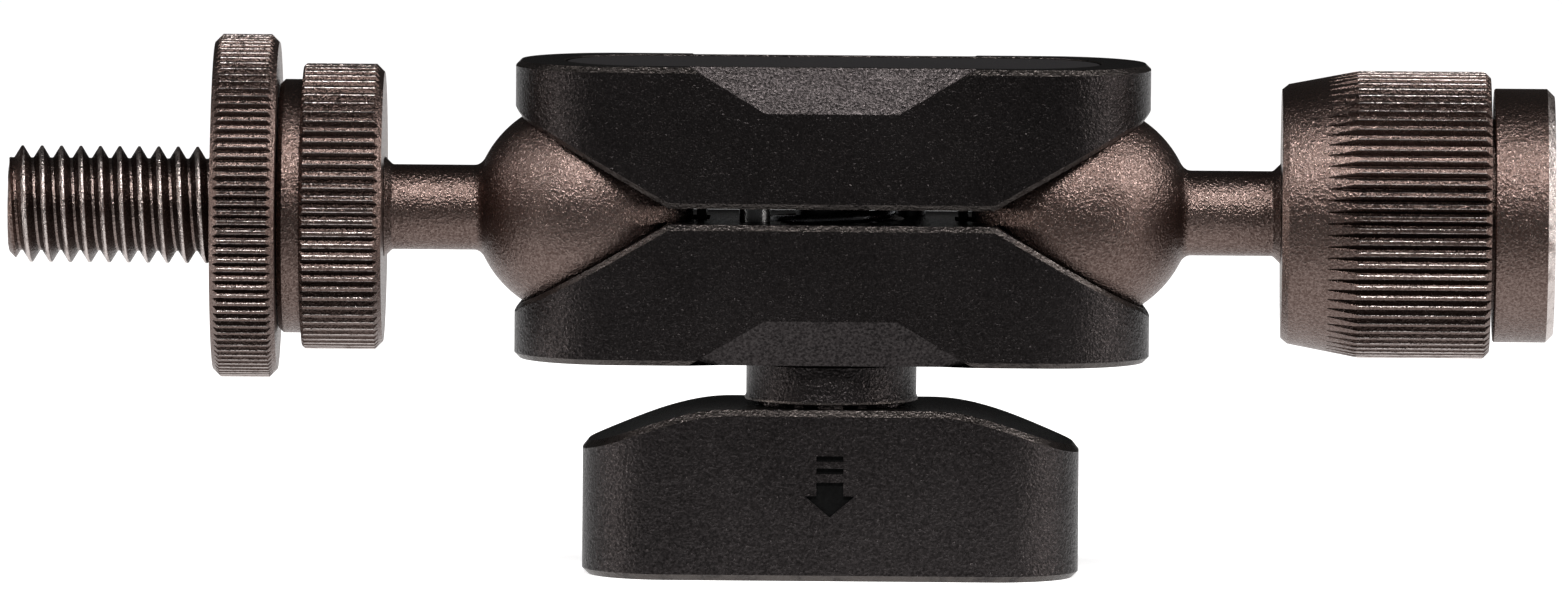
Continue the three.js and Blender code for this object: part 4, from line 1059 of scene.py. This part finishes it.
def finish_material(name, shades, metallic, roughness, grain, bump, painted_light=None, spec=0.5, lines=None):
    """A finish.

    shades are its dark and its light tone, and roughness is its range over the grain. grain is (scale,
    detail, share of glint in the colour) and bump is (height in metres, strength). The painted-light entry is
    the colour of the painted highlight on its marked edges and how strongly it shows, and lines the scale of
    its turning lines. Faces marked below nought get painted shade, a quarter of the dark tone.
    """
    material = bpy.data.materials.new(name)
    material.use_nodes = True
    nodes, links = material.node_tree.nodes, material.node_tree.links
    shader = nodes["Principled BSDF"]
    shader.inputs["Metallic"].default_value = metallic
    shader.inputs["Specular IOR Level"].default_value = spec
    place = nodes.new("ShaderNodeTexCoord").outputs["Object"]

    def grouped(key, **values):
        node = nodes.new("ShaderNodeGroup")
        node.node_tree = bpy.data.node_groups[key]
        links.new(place, node.inputs["Place"])
        for label, value in values.items():
            node.inputs[label].default_value = value
        return node

    blast = grouped("blast_grain", Scale=grain[0], Detail=grain[1])
    tone = grouped("tone_drift")
    share = math_node(nodes, links, "MULTIPLY", blast.outputs["Glint"], grain[2])
    drift = math_node(nodes, links, "MULTIPLY", tone.outputs["Tone"], 1 - grain[2])
    surface = mixed(nodes, links, math_node(nodes, links, "ADD", share, drift, clamp=True), *shades)
    # Painted highlight on marked edges, then painted shade, a quarter of the dark tone, on faces marked below
    # nought.
    if painted_light:
        edge_light = grouped("painted_edge_light", Amount=painted_light[1])
        surface = mixed(nodes, links, edge_light.outputs["Mask"], surface, painted_light[0])
        surface = mixed(nodes, links, edge_light.outputs["PaintedShade"], surface, scaled(shades[0], 0.25))
    links.new(surface, shader.inputs["Base Color"])
    gloss = nodes.new("ShaderNodeMapRange")
    links.new(blast.outputs["Glint"], gloss.inputs["Value"])
    gloss.inputs["To Min"].default_value, gloss.inputs["To Max"].default_value = roughness
    links.new(gloss.outputs["Result"], shader.inputs["Roughness"])
    height = blast.outputs["Height"]
    if lines:
        turning = grouped("lathe_lines", Scale=lines)
        height = math_node(nodes, links, "ADD", height, turning.outputs["Height"])
    relief = nodes.new("ShaderNodeBump")
    relief.inputs["Distance"].default_value = bump[0]
    relief.inputs["Strength"].default_value = bump[1]
    links.new(height, relief.inputs["Height"])
    links.new(relief.outputs["Normal"], shader.inputs["Normal"])
    return material


def scaled(shade, factor):
    return tuple(min(1.0, c * factor) for c in shade)


def tones(shade, low=0.8, high=1.2):
    """A finish's dark and light tone."""
    return scaled(shade, low), scaled(shade, high)


def make_finishes(f):
    """All the arm's materials, from the panel's colours."""
    for build in (blast_grain, tone_drift, painted_edge_light, lathe_lines):
        build()
    red, green, blue = f.bronze
    bronze = (red * 0.55, green * 0.46, blue * 0.43), scaled(f.bronze, 1.5)
    # The last entry of each metal finish is its painted edge highlight colour and strength.
    finish_material("bronze_blasted", bronze, 1.0, (0.38, 0.24), (5200, 2.0, 0.7),
                    (0.00010, 0.9), (tuple(f.bronze_painted_highlight), 0.8))
    finish_material("black_blasted", tones(f.black, 0.45, 1.9), 1.0, (0.40, 0.27), (4700, 2.0, 0.75),
                    (0.00009, 0.9), (tuple(f.black_painted_highlight), 0.8))
    finish_material("arrow_marking", tones(f.marking), 0.0, (0.95, 0.8), (3000, 2.0, 0.6),
                    (0.00005, 0.8), spec=0.08)
    finish_material("cover_black", tones(f.soft_black), 0.0, (0.62, 0.5), (9000, 2.0, 0.4), (0.000012, 0.3))
    finish_material("nylon_dark", tones(f.nylon), 0.0, (0.6, 0.5), (2500, 3.0, 0.3), (0.00001, 0.3))
    # The zinc's painted edge highlight is a lighter zinc.
    finish_material("zinc_plated", tones(f.zinc, 0.85, 1.1), 1.0, (0.38, 0.26), (2500, 2.0, 0.3),
                    (0.00001, 0.3), (scaled(f.zinc, 1.4), 0.7), lines=1800)
    finish_material("spring_wire", tones(f.spring, 0.8, 1.1), 1.0, (0.36, 0.22), (3000, 2.0, 0.3),
                    (0.000008, 0.3))


def dress(piece, body, node, slot, *materials):
    """Gives a piece its finishes, rides it on its body and lets it stand for its CAD node."""
    for key in materials:
        piece.data.materials.append(bpy.data.materials[key])
    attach(piece, body)
    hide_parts(node)
    return piece


def in_mm(group):
    """The lengths of a property group in millimetres, and its counts as they are."""
    values = {key: getattr(group, key) for key in type(group).__annotations__}
    return SimpleNamespace(**{k: v if isinstance(v, int) else v / MM for k, v in values.items()})


# ---------------------------------------------------------------- operators


class ARM_OT_finishes(bpy.types.Operator):
    """Make the arm's materials from the colours in the panel"""

    bl_idname = "clamp_arm.finishes"
    bl_label = "Finishes"

    def execute(self, context):
        make_finishes(context.scene.arm_finishes)
        return {"FINISHED"}


class ARM_OT_plates(bpy.types.Operator):
    """Make the two clamp plates and the cover"""

    bl_idname = "clamp_arm.plates"
    bl_label = "Clamp plates"

    def execute(self, context):
        p = in_mm(context.scene.arm_plates)
        upper = clamp_plate("upper_plate", p, True)
        dress(upper, "upper_clamp", "upper_clamp_plate", "black_anodised", "black_blasted")
        lower = clamp_plate("lower_plate", p, False)
        dress(lower, "lower_clamp", "lower_clamp_plate", "black_anodised", "black_blasted")
        dress(cover_plate("cover_sheet", p), "upper_clamp", "top_cover", "soft_black", "cover_black")
        return {"FINISHED"}


class ARM_OT_knob(bpy.types.Operator):
    """Make the bar knob, its cap and the hub"""

    bl_idname = "clamp_arm.knob"
    bl_label = "Knob and hub"

    def execute(self, context):
        k = in_mm(context.scene.arm_knob)
        bar = bar_knob("bar_knob", k)
        dress(bar, "knob", "tension_knob", "black_anodised", "black_blasted", "arrow_marking")
        thick = k.cap_thickness
        disc = [(0, 0, 0), (0, k.cap, 0.2), (thick, k.cap, 0.05), (thick, 0, 0)]
        cap = turned_piece("base_cap", disc, (0, 0, 0), "z")
        dress(cap, "knob", "knob_cap", "soft_black", "cover_black")
        dress(knob_hub("splined_hub", k), "hub", "knob_hub", "black_anodised", "black_blasted")
        return {"FINISHED"}


class ARM_OT_stems(bpy.types.Operator):
    """Make the two ball stems and the bands round their balls"""

    bl_idname = "clamp_arm.stems"
    bl_label = "Ball stems"

    def execute(self, context):
        b = in_mm(context.scene.arm_stems)
        tip = b.neck_end + b.screw_length
        screw = [(b.neck_end, b.screw, 0.1), (tip - 0.4, b.screw, 0), (tip, b.screw - 0.4, 0), (tip, 0, 0)]
        stem = ball_stem("left_ball", b, -1, screw)
        dress(stem, "stud_arm", "stud_ball_stem", "bronze_anodised", "bronze_blasted")
        pivot = [(b.neck_end, b.pivot, 0.1), (b.pivot_end, b.pivot, 0.1), (b.pivot_end, b.pivot_bore, 0)]
        pivot += [(b.pivot_floor, b.pivot_bore, 0), (b.pivot_floor, 0, 0)]
        stem = ball_stem("right_ball", b, 1, pivot)
        dress(stem, "receiver_arm", "receiver_ball_stem", "bronze_anodised", "bronze_blasted")
        for side, word in ((-1, "left"), (1, "right")):
            band = friction_band(f"{word}_seat_band", b, side)
            dress(band, f"{word}_band", f"{word}_friction_band", "dark_nylon", "nylon_dark")
        return {"FINISHED"}


class ARM_OT_heads(bpy.types.Operator):
    """Make the knurled collar, lock ring and barrel"""

    bl_idname = "clamp_arm.heads"
    bl_label = "Knurled heads"

    def execute(self, context):
        h = in_mm(context.scene.arm_heads)
        face, floor = h.head_face, h.collar_floor
        knurl_end, collar_end = h.collar_knurl_end, h.stud_start
        collar = knurled_head(
            "knurled_collar", -1, h.collar_teeth, h.collar, h.knurl,
            [(floor, 2.3), (face, 2.3)], (face, h.edge), (knurl_end, 0.25),
            [(knurl_end, h.shoulder + 0.1), (knurl_end + 0.1, h.shoulder), (collar_end - 0.4, h.shoulder),
             (collar_end, h.shoulder - 0.4), (collar_end, 5.8), (floor, 5.8)],
        )
        dress(collar, "stud_head", "stud_collar", "bronze_anodised", "bronze_blasted")
        inner, outer = h.ring_start, h.ring_end
        ring = knurled_head(
            "knurled_ring", -1, h.ring_teeth, h.ring, h.knurl,
            [(inner + 1.9, 5.06), (inner + 1.9, 7.2), (inner + 0.1, 7.2), (inner, 7.3)],
            (inner, h.edge), (outer, h.edge), [(outer, 5.5), (outer - 0.4, 5.06)],
        )
        dress(ring, "ring", "lock_ring", "bronze_anodised", "bronze_blasted")
        rear, cone, floor, end = h.barrel_rear, h.barrel_cone, h.barrel_floor, h.barrel_end
        barrel = knurled_head(
            "knurled_barrel", 1, h.barrel_teeth, h.barrel, h.barrel_knurl,
            [(floor, 7.0), (floor, 3.3), (face, 3.3), (face, rear - 0.45)],
            (face + 0.55, h.barrel - rear, cone), (end, 0.5),
            [(end, 8.2), (h.barrel_step, 8.2), (h.barrel_step, 7.0)],
        )
        dress(barrel, "receiver_head", "receiver_barrel", "bronze_anodised", "bronze_blasted")
        return {"FINISHED"}


class ARM_OT_threads(bpy.types.Operator):
    """Make the threaded stud and the threaded socket"""

    bl_idname = "clamp_arm.threads"
    bl_label = "Stud and socket"

    def execute(self, context):
        h = in_mm(context.scene.arm_heads)
        stud = threaded_stud("thread_stud", h)
        dress(stud, "stud_head", "threaded_stud", "bronze_anodised", "bronze_blasted")
        socket = socket_insert("thread_socket", h)
        dress(socket, "receiver_head", "socket_insert", "bronze_anodised", "bronze_blasted")
        return {"FINISHED"}


class ARM_OT_springs(bpy.types.Operator):
    """Make the two springs; the ratchet spring gets a mesh of its own"""

    bl_idname = "clamp_arm.springs"
    bl_label = "Springs"

    def execute(self, context):
        half = 3.4
        parting = coil_spring("parting_spring", 4.75, 0.9, BALL_LEVEL - half, BALL_LEVEL + half, 4.0)
        dress(parting, "upper_clamp", "plate_spring", "spring_steel", "spring_wire")
        bottom, top = 5.55, 11.3
        ratchet = coil_spring("return_spring", 5.85, 0.8, bottom, top, 3.25, 0.7)
        dress(ratchet, "hub", "ratchet_spring", "spring_steel", "spring_wire")
        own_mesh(ratchet)
        return {"FINISHED"}


class ARM_OT_hardware(bpy.types.Operator):
    """Make the screws, pins and washers"""

    bl_idname = "clamp_arm.hardware"
    bl_label = "Screws, pins and washers"

    def execute(self, context):
        middle, floor = (0, 0, BALL_LEVEL), (0, 0, 0)
        head = screw_profile(-19.15, 6.85, 10.85, 3.0, 5.0, 3.3, (0.5, 0.1, 0.35))
        bolt = socket_screw("hex_bolt", head, middle, "z", 5.0, 2.4)
        dress(bolt, "upper_clamp", "clamp_bolt", "zinc_steel", "zinc_plated")
        for word in ("left", "right"):
            low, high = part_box(f"guide_pin_{word}")
            pin = [(-6, 0, 0), (-6, 1.25, 0.3), (6, 1.25, 0.3), (6, 0, 0)]
            pin = turned_piece(f"{word}_pin", pin, (low + high) / 2 / MM, "z", segments=48)
            dress(pin, "upper_clamp", f"guide_pin_{word}", "zinc_steel", "zinc_plated")
        washer = turned_piece(
            "slip_washer", flat_ring(-12.05, -11.25, 3.4, 6.6, 0.08, 0.15), middle, "z", ring=True
        )
        dress(washer, "lower_clamp", "thrust_washer", "dark_nylon", "nylon_dark")
        keeper = turned_piece(
            "keeper_washer", flat_ring(4.7, 5.4, 2.8, 6.4, 0.08, 0.12), floor, "z", ring=True
        )
        dress(keeper, "hub", "retaining_washer", "zinc_steel", "zinc_plated")
        head = screw_profile(9.3, 4.6, 2.4, 2.5, 4.4, 2.2, (0.4, 0.1, 0.3))
        screw = socket_screw("hub_fixing", head, floor, "z", 3.0, 1.3)
        dress(screw, "hub", "hub_screw", "zinc_steel", "zinc_plated")
        insert = turned_piece(
            "ring_liner", flat_ring(25.05, 26.45, 5.06, 6.9, 0.1, 0.1), ball_centre(-1), "x", -1.0, ring=True
        )
        dress(insert, "ring_insert", "lock_ring_insert", "dark_nylon", "nylon_dark")
        washer = turned_piece(
            "pivot_washer", flat_ring(20.75, 21.65, 1.8, 5.5, 0.1, 0.15), ball_centre(1), "x", 1.0, ring=True
        )
        dress(washer, "receiver_arm", "swivel_washer", "zinc_steel", "zinc_plated")
        head = screw_profile(13.55, 21.85, 24.25, 1.5, 2.8, 1.8, (0.3, 0.05, 0.3))
        pivot = socket_screw("pivot_screw", head, ball_centre(1), "x", 2.5, 1.3)
        dress(pivot, "receiver_arm", "swivel_screw", "zinc_steel", "zinc_plated")
        return {"FINISHED"}


SOFT_BOXES = (
    # name, place, (width, height), power, tint
    ("key_box", (0.0, -0.49, 0.58), (0.60, 0.05), 4.7, (1.0, 0.98, 0.97)),
    ("left_box", (-0.53, -0.12, 0.42), (0.10, 0.16), 0.9, (1.0, 0.97, 0.96)),
    ("right_box", (0.53, -0.12, 0.42), (0.14, 0.20), 2.6, (1.0, 0.98, 0.97)),
    ("left_strip", (-0.66, -0.16, 0.05), (0.08, 0.16), 0.9, (1.0, 0.94, 0.90)),
    ("right_strip", (0.66, -0.16, 0.05), (0.08, 0.16), 0.9, (1.0, 0.94, 0.90)),
)


def floor_white(shade, v):
    """The floor: white to the camera. What it throws on the arm fades out in front.

    So the arm's front faces mirror a darker room.
    """
    floor = bpy.data.materials.new("floor_white")
    floor.use_nodes = True
    nodes, links = floor.node_tree.nodes, floor.node_tree.links
    shader = nodes["Principled BSDF"]
    shader.inputs["Roughness"].default_value = 0.9
    shader.inputs["Specular IOR Level"].default_value = 0.0
    shader.inputs["Emission Color"].default_value = (1, 1, 1, 1)
    to_camera = nodes.new("ShaderNodeLightPath").outputs["Is Camera Ray"]
    paint = mixed(nodes, links, to_camera, (0.05, 0.05, 0.05), tuple(shade))
    links.new(paint, shader.inputs["Base Color"])
    split = nodes.new("ShaderNodeSeparateXYZ")
    links.new(nodes.new("ShaderNodeTexCoord").outputs["Object"], split.inputs["Vector"])
    fade = nodes.new("ShaderNodeMapRange")
    links.new(split.outputs["Y"], fade.inputs["Value"])
    for label, value in (
        ("From Min", -2.4 * v.sweep), ("From Max", -v.sweep), ("To Min", v.far_glow), ("To Max", v.glow)
    ):
        fade.inputs[label].default_value = value
    seen = nodes.new("ShaderNodeMix")
    links.new(to_camera, seen.inputs["Factor"])
    links.new(fade.outputs["Result"], seen.inputs["A"])
    seen.inputs["B"].default_value = v.white
    links.new(seen.outputs["Result"], shader.inputs["Emission Strength"])


class ARM_OT_stage(bpy.types.Operator):
    """Make the floor, the soft boxes, the surroundings and the camera"""

    bl_idname = "clamp_arm.stage"
    bl_label = "Stage"

    def execute(self, context):
        scene = context.scene
        v = scene.arm_stage
        aim = Vector((v.aim_x, 0.0, v.aim_z))
        azimuth, elevation = math.radians(v.azimuth), math.radians(v.elevation)
        level = math.cos(elevation)
        back = Vector((math.sin(azimuth) * level, -math.cos(azimuth) * level, math.sin(elevation)))
        camera = bpy.data.objects.new("arm_camera", bpy.data.cameras.new("arm_camera"))
        camera.data.sensor_width = 36.0
        camera.data.lens = camera.data.sensor_width * v.distance / v.width
        camera.data.clip_start, camera.data.clip_end = 0.05, 50.0
        camera.location = aim + back * v.distance
        turn = (-back).to_track_quat("-Z", "Y").to_matrix() @ Euler((0, 0, math.radians(v.roll))).to_matrix()
        camera.rotation_euler = turn.to_euler()
        scene.collection.objects.link(camera)
        scene.camera = camera

        floor_white(scene.arm_finishes.floor, v)
        size = 12.0
        corners = [(-size, -size, 0), (size, -size, 0), (size, size, 0), (-size, size, 0)]
        mesh = bpy.data.meshes.new("floor")
        mesh.from_pydata(corners, [], [(0, 1, 2, 3)])
        mesh.materials.append(bpy.data.materials["floor_white"])
        plane = bpy.data.objects.new("floor", mesh)
        scene.collection.objects.link(plane)

        world = bpy.data.worlds.new("studio")
        world.use_nodes = True
        nodes, links = world.node_tree.nodes, world.node_tree.links
        seen = nodes.new("ShaderNodeLightPath").outputs["Is Camera Ray"]
        strength = nodes.new("ShaderNodeMapRange")
        links.new(seen, strength.inputs["Value"])
        strength.inputs["To Min"].default_value, strength.inputs["To Max"].default_value = v.dark, 1.0
        nodes["Background"].inputs["Color"].default_value = (1, 1, 1, 1)
        links.new(strength.outputs["Result"], nodes["Background"].inputs["Strength"])
        scene.world = world
        scene.view_settings.view_transform = "Standard"

        lit = Vector((0, 0, 0.03))
        for name, place, (wide, tall), power, tint in SOFT_BOXES:
            light = bpy.data.lights.new(name, "AREA")
            light.shape = "RECTANGLE"
            light.size, light.size_y = wide, tall
            light.energy = power * v.key
            light.color = tint
            lamp = bpy.data.objects.new(name, light)
            lamp.location = place
            lamp.rotation_euler = (lit - Vector(place)).to_track_quat("-Z", "Y").to_euler()
            lamp.visible_camera = False
            scene.collection.objects.link(lamp)
        return {"FINISHED"}


class ARM_PT_panel(bpy.types.Panel):
    """Sizes and colours of the arm, and a button for each group of pieces"""

    bl_label = "Double ball clamp arm"
    bl_idname = "ARM_PT_panel"
    bl_space_type = "VIEW_3D"
    bl_region_type = "UI"
    bl_category = "Clamp arm"

    def draw(self, context):
        for operator, group in STEPS:
            box = self.layout.box()
            box.operator(operator)
            settings = getattr(context.scene, group, None) if group else None
            if settings:
                for key in type(settings).__annotations__:
                    box.prop(settings, key)


STEPS = (
    ("clamp_arm.finishes", "arm_finishes"),
    ("clamp_arm.plates", "arm_plates"),
    ("clamp_arm.knob", "arm_knob"),
    ("clamp_arm.stems", "arm_stems"),
    ("clamp_arm.heads", "arm_heads"),
    ("clamp_arm.threads", None),
    ("clamp_arm.springs", None),
    ("clamp_arm.hardware", None),
    ("clamp_arm.stage", "arm_stage"),
)
GROUPS = {
    "arm_finishes": ArmFinishes,
    "arm_plates": ArmPlateSizes,
    "arm_knob": ArmKnobSizes,
    "arm_stems": ArmStemSizes,
    "arm_heads": ArmHeadSizes,
    "arm_stage": ArmStageSettings,
}
CLASSES = (
    *GROUPS.values(),
    ARM_OT_finishes, ARM_OT_plates, ARM_OT_knob, ARM_OT_stems, ARM_OT_heads, ARM_OT_threads,
    ARM_OT_springs, ARM_OT_hardware, ARM_OT_stage, ARM_PT_panel,
)


def register():
    for item in CLASSES:
        bpy.utils.register_class(item)
    for key, group in GROUPS.items():
        setattr(bpy.types.Scene, key, PointerProperty(type=group))


def unregister():
    for key in GROUPS:
        delattr(bpy.types.Scene, key)
    for item in reversed(CLASSES):
        bpy.utils.unregister_class(item)


def main():
    """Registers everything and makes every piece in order."""
    register()
    bpy.ops.clamp_arm.finishes()
    bpy.ops.clamp_arm.plates()
    bpy.ops.clamp_arm.knob()
    bpy.ops.clamp_arm.stems()
    bpy.ops.clamp_arm.heads()
    bpy.ops.clamp_arm.threads()
    bpy.ops.clamp_arm.springs()
    bpy.ops.clamp_arm.hardware()
    bpy.ops.clamp_arm.stage()


if __name__ == "__main__":
    main()
